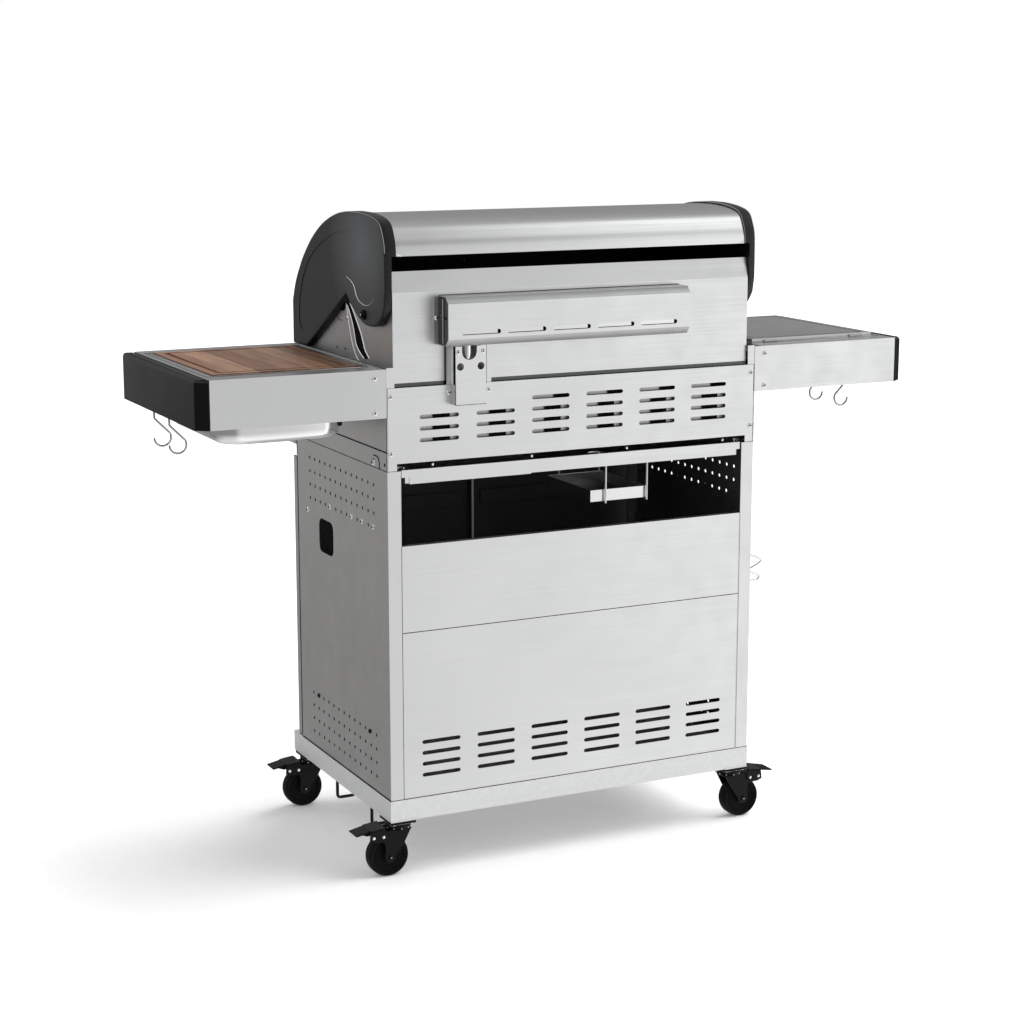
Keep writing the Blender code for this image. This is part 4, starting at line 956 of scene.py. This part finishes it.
def rear_screws():
    """Screws and rivets on the back."""
    spots = []
    for _, side in SIDES:
        for z in (0.855, 0.7575):
            spots.append(((side * 0.3575, REAR - 0.0003, z), (0, 1, 0), 0.0045))
        for z in (0.889, 0.83):
            spots.append(((side * 0.386, REAR, z), (0, 1, 0), 0.0048))
    for x, z in ((0.24, 0.927), (0.193, 0.927)):
        spots.append(((x, 0.2582, z), (0, 1, 0), 0.0042))
    for x, z in ((0.2495, 0.857), (0.174, 0.857)):
        spots.append(((x, REAR - 0.0003, z), (0, 1, 0), 0.0042))
    pairs = []
    for index, (point, normal, radius) in enumerate(spots):
        pairs += screw_head(point, normal, radius, 0.35 * index)
    assemble("rear_screws", "cabinet", pairs)

    rivets = []
    for x in (0.28, 0.09, -0.1, -0.3):
        rivets += rivet((x, 0.238, 0.7345), (0, 1, 0), 0.0024)
    assemble("frame_rivets", "cabinet", rivets)


def frame_details():
    """The latch slot, bolt and hole at the rear end of the frame's side rails; the slot and hole are drawn
    black, painted shade.
    """
    for label, side in SIDES:
        x = side * HALF_W
        path = [(0.1791, 0.7479), (0.1925, 0.7483), (0.2012, 0.745), (0.2052, 0.737), (0.2051, 0.728)]
        slot = [(x - side * 0.0002, y, z) for y, z in smooth(path, 4)]
        parts = [(wire([slot], 0.0012, 2), SHADE_BLACK)]
        parts += screw_head((x, 0.179, 0.7362), (side, 0, 0), 0.0062, 0.3)
        parts.append((sided(prism("X", [circle(0.229, 0.7378, 0.003)], 0.3646, 0.3653), side), SHADE_BLACK))
        assemble(f"rail_latch_{label}", "cabinet", parts)


def seams():
    """Black strips painted as the shadow in the joints, with bright strips painted as the lit fold next to
    them, on the back, the sides and the plinth.
    """
    dark, lit = [], []
    for _, side in SIDES:
        for low, high in (((0.3396, 0.239, 0.1423), (0.3405, 0.2402, 0.5955)),
                          ((0.3649, 0.2384, 0.7272), (0.3655, 0.2402, 0.82))):
            dark.append(sided(block(low, high), side))
            fold_low = (low[0] - 0.0009, low[1], low[2])
            lit.append(sided(block(fold_low, (low[0], high[1] - 0.0001, high[2])), side))
        for z, x in ((0.7268, 0.3653), (0.7592, 0.3653), (0.142, 0.3662)):
            dark.append(sided(block((0.364, -0.19, z), (x, 0.2402, z + 0.0012)), side))
        lit.append(sided(block((0.364, -0.19, 0.141), (0.3662, 0.2398, 0.1418)), side))
        lit.append(sided(rod((0.3658, 0.2398, 0.1035), (0.3658, 0.2398, 0.1415), 0.0005, 8), side))
        lit.append(sided(rod((0.3649, 0.2399, 0.8205), (0.3649, 0.2399, 0.9025), 0.0006, 8), side))
    for z, half in ((0.4416, 0.3395), (0.1417, 0.3655)):
        dark.append(block((-half, 0.2385, z), (half, 0.2403, z + 0.0011)))
        lit.append(block((-half, 0.2385, z - 0.0007), (half, 0.2402, z)))
    dark += [block((0.1875, 0.257, 0.836), (0.2445, 0.2585, 0.8368)),
             block((0.245, 0.2495, 0.871), (0.2453, 0.2582, 0.938)),
             block((0.2447, 0.257, 0.8362), (0.2453, 0.2585, 0.871)),
             block((0.2532, 0.2374, 0.871), (0.2545, 0.238, 0.938)),
             block((0.1866, 0.256, 0.871), (0.1872, 0.2584, 0.938)),
             block((0.2335, 0.256, 0.9368), (0.245, 0.2585, 0.938)),
             block((0.198, 0.256, 0.9368), (0.2045, 0.2585, 0.938))]
    pairs = [(mesh, SHADE_BLACK) for mesh in dark] + [(mesh, BRIGHT) for mesh in lit]
    for _, side in SIDES:
        pairs.append((sided(block((0.3503, 0.2383, 0.8705), (0.3646, 0.2397, 0.905)), side), REAR_STEEL))
    pairs.append((block((-0.347, 0.2322, 0.864), (0.347, 0.2327, 0.88)), SHADED_STEEL))
    pairs.append((block((0.2448, 0.2385, 0.871), (0.2452, 0.248, 0.938)), ZINC))
    assemble("rear_seams", "cabinet", pairs)


def shelf_rims():
    """Dark and bright strips round the wells and beside the firebox: the painted shade and highlights of
    folded hems.
    """
    for name, side in SIDES:
        pairs = []
        for out, width, look in ((0.0002, 0.001, SHADE_BLACK), (0.0012, 0.0014, BRIGHT), (0.0058, 0.0009, SHADE_BLACK),
                                 (0.0067, 0.001, BRIGHT), (0.0112, 0.0008, SHADE_BLACK)):
            rings = [rounded(WELL_X[0] - grow, WELL_Y[0] - grow, WELL_X[1] + grow, WELL_Y[1] + grow, 0.003, 2)
                     for grow in (out + width, out)]
            pairs.append((sided(prism("Z", rings, 0.9028, 0.9033), side), look))
        for x, width, look in ((0.3657, 0.0028, SHADE_BLACK), (0.369, 0.0012, BRIGHT), (0.3722, 0.0016, SHADE_BLACK),
                               (0.374, 0.001, BRIGHT), (0.377, 0.0014, SHADE_BLACK), (0.3786, 0.001, BRIGHT)):
            pairs.append((sided(block((x, -0.179, 0.9028), (x + width, 0.238, 0.9034)), side), look))
        if side > 0:
            pairs.append((block((0.4135, 0.15, 0.799), (0.421, 0.16, 0.8215), 0.002), PAINT))
        assemble(f"shelf_hem_shade_lines_{name}", "cabinet", pairs)


# ---------------------------------------------------------------- inside and underneath
def vent_interior():
    """Black strips on two rails behind the vent slots: painted shade for the dark patches that show in the
    slots.
    """
    half = 0.037
    parts = [(block((-0.33, 0.234, 0.8445), (0.33, 0.2346, 0.8465)), DARK_STEEL),
             (block((-0.33, 0.234, 0.7675), (0.33, 0.2346, 0.7705)), DARK_STEEL)]
    for index in range(6):
        x = VENT_PITCH * (2.5 - index)
        top = block((x - half, 0.2341, 0.8325), (x - 0.25 * half, 0.2345, 0.845))
        rest = block((x - 0.6 * half, 0.2341, 0.77), (x + 0.25 * half, 0.2345, 0.824))
        parts += [(top, SHADE_BLACK), (rest, SHADE_BLACK)]
    assemble("vent_painted_shade_gaps", "cabinet", parts)


def catch_pan_painted_shade():
    """The catch pan's floor and inner side walls in darker colours, painted shade, and its bright rolled rim.
    """
    low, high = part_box("catch_pan")
    floor = rounded(low[0] + SHEET, low[1] + SHEET, high[0] - SHEET, high[1] - SHEET, 0.004, 3)
    parts = [(prism("Z", [floor], low[2] + 0.0011, low[2] + 0.0016), INSIDE_SHADE)]
    for inner in (low[0] + 0.0011, high[0] - 0.0016):
        parts.append((block((inner, low[1] + SHEET, low[2] + 0.0016),
                            (inner + 0.0005, high[1] - SHEET, high[2] - 0.002)), DARK_STEEL))
    corners = [(low[0] + 0.0007, low[1] + 0.0007), (high[0] - 0.0007, low[1] + 0.0007),
               (high[0] - 0.0007, high[1] - 0.0007), (low[0] + 0.0007, high[1] - 0.0007)]
    for start, end in zip(corners, corners[1:] + corners[:1]):
        parts.append((rod((*start, high[2] - 0.0005), (*end, high[2] - 0.0005), 0.0007, 8), BRIGHT))
    assemble("catch_pan_painted_shade", "catch_pan", parts)


def gastro_pan():
    """A deep-drawn pan with a rolled rim, rounded corners and a rounded floor."""
    low_x, high_x = WELL_X[0] + 0.001, WELL_X[1] - 0.001
    low_y, high_y = WELL_Y[0] + 0.001, WELL_Y[1] - 0.001
    rim = 0.8882 + 0.0003

    def ring(step, z, radius):
        across = step + (0.0055 if step else 0.0)
        corners = (low_x + across, low_y + step, high_x - across, high_y - step)
        return [(u, v, z) for u, v in rounded(*corners, radius, 8)]
    outside = [ring(0.0, rim, 0.01), ring(0.0, rim + 0.0011, 0.01), ring(0.0115, rim + 0.0011, 0.04),
               ring(0.0122, rim - 0.002, 0.04), ring(0.014, 0.8, 0.04), ring(0.0152, 0.791, 0.04),
               ring(0.0185, 0.7845, 0.04), ring(0.024, 0.7815, 0.04), ring(0.032, 0.7808, 0.036)]
    under = [ring(0.032, 0.78, 0.036), ring(0.0235, 0.7806, 0.04), ring(0.0176, 0.7838, 0.04),
             ring(0.0142, 0.7906, 0.04), ring(0.013, 0.8, 0.04), ring(0.0112, rim - 0.002, 0.04),
             ring(0.0108, rim, 0.04), ring(0.0, rim, 0.01)]
    parts = [(loft(outside, False, True), PAN_STEEL), (loft(under, True, False), PAN_STEEL)]
    assemble("food_pan", "cabinet", parts, ["gastro_pan"], 40)


def under_base():
    """The black caster plates and wire stays under the plinth."""
    parts = []
    for y in (-0.09, 0.08):
        stay = [(0.336, y, 0.1037), (0.336, y, 0.045), (0.3, y, 0.045), (0.3, y, 0.1037)]
        parts.append((wire([filleted(stay, 0.007)], 0.00295), PAINT))
    for _, side in SIDES:
        for y in CASTER_Y.values():
            x = side * CASTER_X
            low = (x - 0.024, y - 0.027, 0.0972)
            high = (x + 0.024, y + 0.027, 0.103)
            parts.append((block(low, high, 0.001), PAINT))
            for dx in (-0.017, 0.017):
                for dy in (-0.02, 0.02):
                    parts += rivet((x + dx, y + dy, 0.0972), (0, 0, -1), 0.0042)
    assemble("under_stays_and_plates", "cabinet", parts)


def casters():
    """Pressed forks with a ball race, ribbed wheels, and toothed brake pedals."""
    profile = [(0.0046, 0.015), (0.0095, 0.015), (0.0105, 0.0135), (0.0115, 0.01), (0.015, 0.0085),
               (0.025, 0.009), (0.0268, 0.0108), (0.028, 0.0112), (0.0292, 0.0104), (0.0306, 0.0116),
               (0.0345, 0.0122), (0.0362, 0.0112), (0.0372, 0.0085), (0.0375, 0.006)]
    profile = profile + [(r, -z) for r, z in reversed(profile)]
    nut = [(0.006, -0.001), (0.006, 0.0008), (0.005, 0.0016), (0, 0.0016)]
    bolt = [(0.003, 0.001), (0.003, 0.0026), (0.002, 0.0032), (0, 0.0032)]
    tip = [(0.0012, 0.003), (0.001, 0.0036), (0, 0.0037)]
    bead = [(0.0, 0.0012), (0.0009, 0.0009), (0.0012, 0.0), (0.0009, -0.0009), (0, -0.0012)]
    for end, y in CASTER_Y.items():
        for name, side in SIDES:
            label = f"{end}_{name}"
            turn = Matrix.Rotation(0 if side > 0 else math.pi, 4, "Z")
            at = Matrix.Translation((side * CASTER_X, y, 0)) @ turn
            spin = at @ Matrix.Translation((TRAIL, 0, WHEEL_R)) @ TO_AXIS["Y"]

            parts = [(lathe(profile, 48, spin), RUBBER)]
            for face in (1, -1):
                for radius in (0.014, 0.0175, 0.021, 0.0245):
                    ring = [(radius - 0.0008, 0.0085), (radius - 0.0003, 0.0097), (radius + 0.0003, 0.0097),
                            (radius + 0.0008, 0.0085)]
                    flip = Matrix.Rotation(0.0 if face > 0 else math.pi, 4, "X")
                    parts.append((lathe(ring, 40, spin @ flip), PAINT))
            node = f"caster_wheel_{label}"
            assemble(f"wheel_tyre_{label}", f"wheel_{label}", parts, [node])

            cheek = [(-0.0175, 0.0865), (0.02, 0.0865), (0.0395, 0.0838), (0.0402, 0.073), (0.0335, 0.065)]
            cheek += [(TRAIL + 0.009, 0.054), *arc(TRAIL, WHEEL_R, 0.0105, 5, -185, 12), (-0.004, 0.06)]
            parts = []
            for sign in (-1, 1):
                low, high = sorted((sign * 0.0165, sign * 0.0184))
                parts.append((prism("Y", [cheek], low, high), PAINT))
                axle = facing((TRAIL, sign * 0.0184, WHEEL_R), (0, sign, 0))
                # The bright tip on each black axle bolt is a painted glint.
                parts += [(lathe(nut, 6, axle), PAINT), (lathe(bolt, 14, axle), PAINT),
                          (lathe(tip, 10, axle), BRIGHT)]
                parts += rivet((BRAKE[0], sign * 0.0206, BRAKE[1]), (0, sign, 0), 0.003)
                pin = [(BRAKE[0], sign * reach, BRAKE[1]) for reach in (0.0165, 0.0212)]
                parts.append((rod(*pin, 0.0022, 12), BRIGHT))
            parts.append((rod((TRAIL, -0.017, WHEEL_R), (TRAIL, 0.017, WHEEL_R), 0.004, 16), BRIGHT))
            crown = [(0.0, 0.0845), (0.0205, 0.0845), (0.0215, 0.0855), (0.0215, 0.0868), (0.0195, 0.088),
                     (0.0195, 0.0885), (0.0232, 0.089), (0.0235, 0.0905), (0.0235, 0.094), (0.022, 0.0955),
                     (0.019, 0.0965), (0.0, 0.0968)]
            parts.append((lathe(crown, 40, Matrix.Identity(4)), PAINT))
            parts.append((block((-0.019, -0.0184, 0.0846), (0.02, 0.0184, 0.0866), 0.0008), PAINT))
            for index in range(10):
                angle = 2 * math.pi * (index + 0.35) / 10
                spot = (0.0226 * math.cos(angle), 0.0226 * math.sin(angle), 0.0886)
                parts.append((lathe(bead, 8, Matrix.Translation(spot)), BRIGHT))
            parts = [(moved(mesh, at), look) for mesh, look in parts]
            assemble(f"fork_{label}", f"caster_{label}", parts, [f"caster_fork_{label}"])

            top = [(0.0322, 0.0944), (0.0324, 0.0912), (0.06, 0.0877), (0.0845, 0.0836), (0.0862, 0.0836),
                   (0.0869, 0.0856), (0.06, 0.0912), (0.043, 0.0934)]
            inner = [point for point in top if point[0] < 0.061]
            outer = [(0.0595, 0.0878), (0.0845, 0.0836), (0.0862, 0.0836), (0.0869, 0.0856), (0.0595, 0.0913)]
            parts = [(prism("Y", [flat], -half, half), PAINT)
                     for flat, half in ((inner, 0.0204), (outer, 0.0169))]
            for index in range(5):
                x0 = 0.062 + 0.0052 * index
                z0 = 0.0909 - (x0 - 0.06) * 0.205
                parts.append((moved(block((-0.0012, -0.0166, -0.0012), (0.0012, 0.0166, 0.0008), 0.0004),
                                    Matrix.Translation((x0, 0, z0)) @ Matrix.Rotation(0.2, 4, "Y")), PAINT))
            ear = [(0.0287, 0.0728), (0.0342, 0.0703)]
            for index in range(4):
                ear += [(0.038 + 0.0045 * index, 0.0668 + 0.0004 * index), (0.04 + 0.0045 * index, 0.0692)]
            ear += [(0.0618, 0.0722), (0.0598, 0.0888), (0.0327, 0.0916), (0.0287, 0.085)]
            for sign in (-1, 1):
                low, high = sorted((sign * 0.0189, sign * 0.0204))
                parts.append((prism("Y", [ear], low, high), PAINT))
                parts += rivet((BRAKE[0] + 0.0184, sign * 0.0204, BRAKE[1] + 0.0003), (0, sign, 0), 0.0031)
            parts = [(moved(mesh, at), look) for mesh, look in parts]
            assemble(f"brake_{label}", f"pedal_{label}", parts, [f"caster_pedal_{label}"])


# ---------------------------------------------------------------- shelves
def hooks():
    """Bright S-hooks with round ends."""
    wall_x = 0.6755 - 0.0006
    upper = arc(wall_x, 0.8335 - 0.0096, 0.0096, 205, 0, 16)
    shank = [(wall_x + 0.0097, 0.815), (wall_x + 0.0094, 0.806), (wall_x + 0.0072, 0.8)]
    lower = arc(wall_x - 0.0045, 0.768, 0.015, 150, 355, 20)
    path = smooth(upper + shank + lower, 2)
    number = 0
    for side, places in ((1, (-0.042, 0.045)), (-1, (-0.01, 0.076))):
        for y in places:
            number += 1
            route = [(side * u, y, v) for u, v in path]
            parts = [(wire([route], 0.0019, 4), WIRE)]
            for point in (route[0], route[-1]):
                ball = [(0, -0.0019), (0.0013, -0.0014), (0.0019, 0), (0.0013, 0.0014), (0, 0.0019)]
                parts.append((lathe(ball, 12, Matrix.Translation(point)), WIRE))
            assemble(f"hook_{number}", f"s_hook_{number}", parts, [f"s_hook_{number}"], 60)


def shelf_caps():
    """Hollow black end caps with rounded edges."""
    for name, side in SIDES:
        x0 = SHELF_END
        front = SHELF_FRONT
        outline = [(x0, front), (0.6935, front), (0.696, front + 0.001), (0.6972, front + 0.003),
                   (0.6975, front + 0.005),
                   (0.6975, 0.224), (0.697, 0.2253), (x0 + 0.0015, 0.2398), (x0, REAR)]
        steps = [(0.0, SHELF_LOW), (0.0, 0.896), (0.0006, 0.8988), (0.0022, 0.9013), (0.0045, 0.9026),
                 (0.007, SHELF_TOP)]
        shell = loft([[(u, v, z) for u, v in inset(outline, d, True)] for d, z in steps], False, True)
        inner = [(x0, front + 0.003), (0.693, front + 0.003), (0.6945, front + 0.005), (0.6945, 0.2235),
                 (x0 + 0.0006, 0.2362),
                 (x0, 0.2362)]
        lining = loft([[(u, v, z) for u, v in inner] for z in (SHELF_LOW, 0.899)], False, True)
        lining.flip_normals()
        rim = prism("Z", [outline, inset(inner, -0.0001, True)], SHELF_LOW, SHELF_LOW + 0.0004)
        bevel = [(x0 + 0.0017, 0.2399), (0.6971, 0.2256), (0.6968, 0.2252), (x0 + 0.0014, 0.2395)]
        parts = [(sided(mesh, side), PLASTIC) for mesh in (shell, lining, rim)]
        # The strip on the rear chamfer is in the darker black: painted shade.
        parts.append((sided(prism("Z", [bevel], 0.8202, 0.8985), side), RUBBER))
        assemble(f"shelf_end_{name}", "cabinet", parts, [f"shelf_cap_{name}"])


def side_burner_details():
    """A dark line painted as the shade of a border pressed into the side burner's lid, its hinge knuckles,
    and the burner's crown.
    """
    low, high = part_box("side_burner_lid")
    outer = rounded(low[0] + 0.012, low[1] + 0.012, high[0] - 0.012, high[1] - 0.012, 0.006)
    inner = rounded(low[0] + 0.015, low[1] + 0.015, high[0] - 0.015, high[1] - 0.015, 0.005)
    parts = [(prism("Z", [outer, inner], high[2] - 0.0003, high[2]), SHADE_BLACK)]
    assemble("side_lid_border", "side_burner_lid", parts)

    parts = []
    for x in (-0.62, -0.43):
        parts.append((rod((x - 0.014, 0.1905, 0.905), (x + 0.014, 0.1905, 0.905), 0.0024, 14), DIMMED_STEEL))
    assemble("side_lid_hinges", "side_burner_lid", parts)

    crown = [(0.0, 0.0), (0.03, 0.0), (0.03, 0.002), (0.027, 0.0035), (0, 0.004)]
    at = Matrix.Translation(((low[0] + high[0]) / 2, (WELL_Y[0] + WELL_Y[1]) / 2, 0.8851))
    parts = [(lathe([(r, z * 0.6) for r, z in crown], 36, at), IRON)]
    assemble("side_burner_cap", "cabinet", parts)


# ---------------------------------------------------------------- front
def doors():
    """Folded doors with steel faces, and with inner faces and stiffeners painted dark as shade."""
    for name, side in SIDES:
        x0, x1 = 0.0015, 0.3645
        low, high = 0.143, 0.687
        faces = (((x0, -0.214, low), (x1, -0.2132, high)),
                 ((x0, -0.2132, low), (x0 + 0.001, -0.1985, high)),
                 ((x1 - 0.001, -0.2132, low), (x1, -0.1985, high)),
                 ((x0, -0.2132, high - 0.001), (x1, -0.1985, high)),
                 ((x0, -0.2132, low), (x1, -0.1985, low + 0.001)))
        shaded_insides = (((x0 + 0.001, -0.2132, low + 0.001), (x1 - 0.001, -0.2128, high - 0.001)),
                   ((x0 + 0.001, -0.2128, low + 0.001), (x0 + 0.0014, -0.1987, high - 0.001)),
                   ((x1 - 0.0014, -0.2128, low + 0.001), (x1 - 0.001, -0.1987, high - 0.001)))
        parts = strips(POST_STEEL, side, faces) + strips(INSIDE_SHADE, side, shaded_insides)
        for z in (0.26, 0.56):
            stiffener = block((x0 + 0.02, -0.2128, z), (x1 - 0.02, -0.2085, z + 0.03), 0.001)
            parts.append((sided(stiffener, side), INSIDE_SHADE))
        for z in (0.146, 0.679):
            pin = rod((0.3565, -0.2063, z - 0.0025), (0.3565, -0.2063, z + 0.006), 0.0035, 14)
            parts.append((sided(pin, side), BRIGHT))
        assemble(f"door_sheet_{name}", f"door_{name}", parts, [f"door_{name}"])

        x = side * 0.045
        face = -0.2143
        bar = [(x, face, 0.455), (x, -0.243, 0.455), (x, -0.243, 0.625), (x, face, 0.625)]
        foot = [(0.0, 0.0), (0.009, 0.0), (0.009, 0.0012), (0.0075, 0.0022), (0.006, 0.0022)]
        parts = [(wire([filleted(bar, 0.01, 6)], 0.006, 6), LID_STEEL)]
        for z in (0.455, 0.625):
            parts.append((lathe(foot, 24, facing((x, face, z), (0, -1, 0))), CHROME))
        assemble(f"door_bar_{name}", f"door_{name}", parts, [f"door_handle_{name}"], 60)


def controls():
    """Knobs with a grip and an index line, and the marks round them."""
    normal = Vector((0, PANEL_LOW.z - PANEL_TOP.z, PANEL_TOP.y - PANEL_LOW.y)).normalized()
    share = (PANEL_TOP.z - KNOB_Z) / (PANEL_TOP.z - PANEL_LOW.z)
    face_y = PANEL_TOP.y + (PANEL_LOW.y - PANEL_TOP.y) * share
    body = [(0.0, -0.004), (0.0045, -0.004), (0.0045, 0.0006), (0.0236, 0.0008), (0.0238, 0.003),
            (0.0225, 0.0052), (0.02, 0.0062), (0.0192, 0.01), (0.018, 0.0225), (0.0172, 0.0246),
            (0.015, 0.0257), (0, 0.026)]
    for index, x in enumerate(KNOB_X, start=1):
        at = facing((x, face_y, KNOB_Z), normal)
        grip = block((-0.0034, -0.0205, 0.01), (0.0034, 0.0205, 0.0298), 0.0014, 2)
        line = block((-0.0006, 0.004, 0.0296), (0.0006, 0.02, 0.0301))
        ring = [(0.0182, 0.0222), (0.0186, 0.0226), (0.0184, 0.0242), (0.0176, 0.0246)]
        parts = [(lathe(body, 40, at), PLASTIC), (moved(grip, at), PLASTIC), (moved(line, at), DIAL),
                 (lathe(ring, 40, at), CHROME)]
        assemble(f"control_knob_{index}", f"knob_{index}", parts, [f"knob_{index}"])

    parts = []
    for x in KNOB_X:
        at = facing((x, face_y, KNOB_Z), normal)
        for step in range(9):
            angle = math.radians(-20 - 27.5 * step)
            long = 0.0022 + 0.0003 * step
            tick = block((0.0285, -0.0005, 0.0), (0.0285 + long, 0.0005, 0.0003))
            parts.append((moved(tick, at @ Matrix.Rotation(angle + math.pi / 2, 4, "Z")), PAINT))
    assemble("knob_marks", "cabinet", parts)


# ---------------------------------------------------------------- CAD nodes that stay
LOOKS = {
    "base_tray": ZINC, "rear_panel_upper": REAR_STEEL, "rear_panel_lower": REAR_STEEL,
    "rear_vent_cover": REAR_STEEL, "rear_burner_bracket": REAR_STEEL, "firebox_back": REAR_STEEL,
    "top_frame": SIDE_STEEL, "firebox": DARK_STEEL, "burners": BURNT, "flame_tamers": BURNT,
    "grate_left": IRON, "grate_right": IRON, "warming_rack": CHROME, "drip_tray": REAR_STEEL,
    "catch_pan": PAN_STEEL, "control_panel": REAR_STEEL, "gas_manifold": PAINT,
    "shelf_left": SHELF_STEEL, "shelf_right": REAR_STEEL, "cutting_board": WALNUT,
    "side_burner": DARK_STEEL, "side_burner_lid": TOP_STEEL,
}


def finish_nodes():
    """Materials and small edge bevels for the CAD nodes that are shown."""
    for name, look in LOOKS.items():
        mesh = NODES[name].data
        mesh.materials.clear()
        mesh.materials.append(look)
    for name, width in (("cutting_board", 0.0012), ("grate_left", 0.0012), ("grate_right", 0.0012),
                        ("catch_pan", 0.0003), ("side_burner_lid", 0.0012)):
        bevel = NODES[name].modifiers.new("soft_edges", "BEVEL")
        bevel.width = width
        bevel.segments = 2
        bevel.limit_method = "ANGLE"


# ---------------------------------------------------------------- stage
def studio_light():
    """A white backdrop for the camera; for everything else a studio that is bright behind the
    camera and overhead, and dim beyond the grill."""
    world = bpy.data.worlds.new("studio")
    bpy.context.scene.world = world
    world.use_nodes = True
    tree = world.node_tree

    def add(kind, **settings):
        node = tree.nodes.new(kind)
        for key, value in settings.items():
            setattr(node, key, value)
        return node

    direction = add("ShaderNodeTexCoord").outputs["Generated"]

    def combined(operation, first, second):
        node = add("ShaderNodeMath", operation=operation)
        for socket, value in zip(node.inputs, (first, second)):
            if isinstance(value, float):
                socket.default_value = value
            else:
                tree.links.new(value, socket)
        return node.outputs["Value"]

    def window(axis, start, end):
        """Rises from 0 to 1 with the cosine of the angle to an axis."""
        dot = add("ShaderNodeVectorMath", operation="DOT_PRODUCT")
        tree.links.new(direction, dot.inputs[0])
        dot.inputs[1].default_value = Vector(axis).normalized()
        ramp = add("ShaderNodeMapRange", interpolation_type="SMOOTHSTEP")
        ramp.inputs["From Min"].default_value = start
        ramp.inputs["From Max"].default_value = end
        tree.links.new(dot.outputs["Value"], ramp.inputs["Value"])
        return ramp.outputs["Result"]

    total = 0.0
    for strength, *windows in LIGHTS:
        part = strength
        for values in windows:
            part = combined("MULTIPLY", part, window(*values))
        total = combined("ADD", total, part)
    light = tree.nodes["Background"]
    tree.links.new(total, light.inputs["Strength"])
    light.inputs["Color"].default_value = (1.0, 1.0, 1.0, 1.0)
    backdrop = add("ShaderNodeBackground")
    backdrop.inputs["Color"].default_value = (1.0, 1.0, 1.0, 1.0)
    mix = add("ShaderNodeMixShader")
    tree.links.new(add("ShaderNodeLightPath").outputs["Is Camera Ray"], mix.inputs[0])
    tree.links.new(light.outputs[0], mix.inputs[1])
    tree.links.new(backdrop.outputs[0], mix.inputs[2])
    tree.links.new(mix.outputs[0], tree.nodes["World Output"].inputs["Surface"])

    sun = bpy.data.lights.new("overhead", "SUN")
    sun.energy = SUN_POWER
    sun.angle = math.radians(60)
    obj = bpy.data.objects.new("overhead", sun)
    obj.visible_glossy = False
    obj.rotation_mode = "QUATERNION"
    obj.rotation_quaternion = Vector(SUN_FROM).to_track_quat("Z", "Y")
    bpy.context.scene.collection.objects.link(obj)


def stage():
    """A pale floor, the studio's light and the camera."""
    def ground(bm):
        bmesh.ops.create_grid(bm, x_segments=1, y_segments=1, size=FLOOR_HALF)
    floor = bpy.data.objects.new("floor", made(ground))
    bpy.context.scene.collection.objects.link(floor)
    n = Nodes("pale_floor")
    grain = n.noise(30, 2.0)
    tone = n.mix(n.spread(grain, 0, 1), (0.86, 0.86, 0.86), (0.89, 0.89, 0.89))
    n.link(tone, n.shader.inputs["Base Color"])
    n.set(Roughness=0.85, Emission_Color=(1.0, 1.0, 1.0, 1.0), Emission_Strength=0.12)
    floor.data.materials.append(n.material)
    floor.visible_glossy = False

    bpy.context.scene.view_settings.view_transform = "Standard"
    studio_light()

    camera = bpy.data.cameras.new("camera")
    camera.lens = LENS_MM
    camera.sensor_width = SENSOR_MM
    obj = bpy.data.objects.new("camera", camera)
    obj.location = CAMERA_AT
    obj.rotation_mode = "QUATERNION"
    obj.rotation_quaternion = CAMERA_TOWARDS.to_track_quat("-Z", "Y")
    bpy.context.scene.collection.objects.link(obj)
    bpy.context.scene.camera = obj


stage()
side_panels()
runner_ledges()
lid_shell()
lid_caps()
lid_front()
firebox_details()
rear_burner()
rear_screws()
frame_details()
seams()
shelf_rims()
vent_interior()
catch_pan_painted_shade()
gastro_pan()
under_base()
casters()
hooks()
shelf_caps()
side_burner_details()
doors()
controls()
finish_nodes()
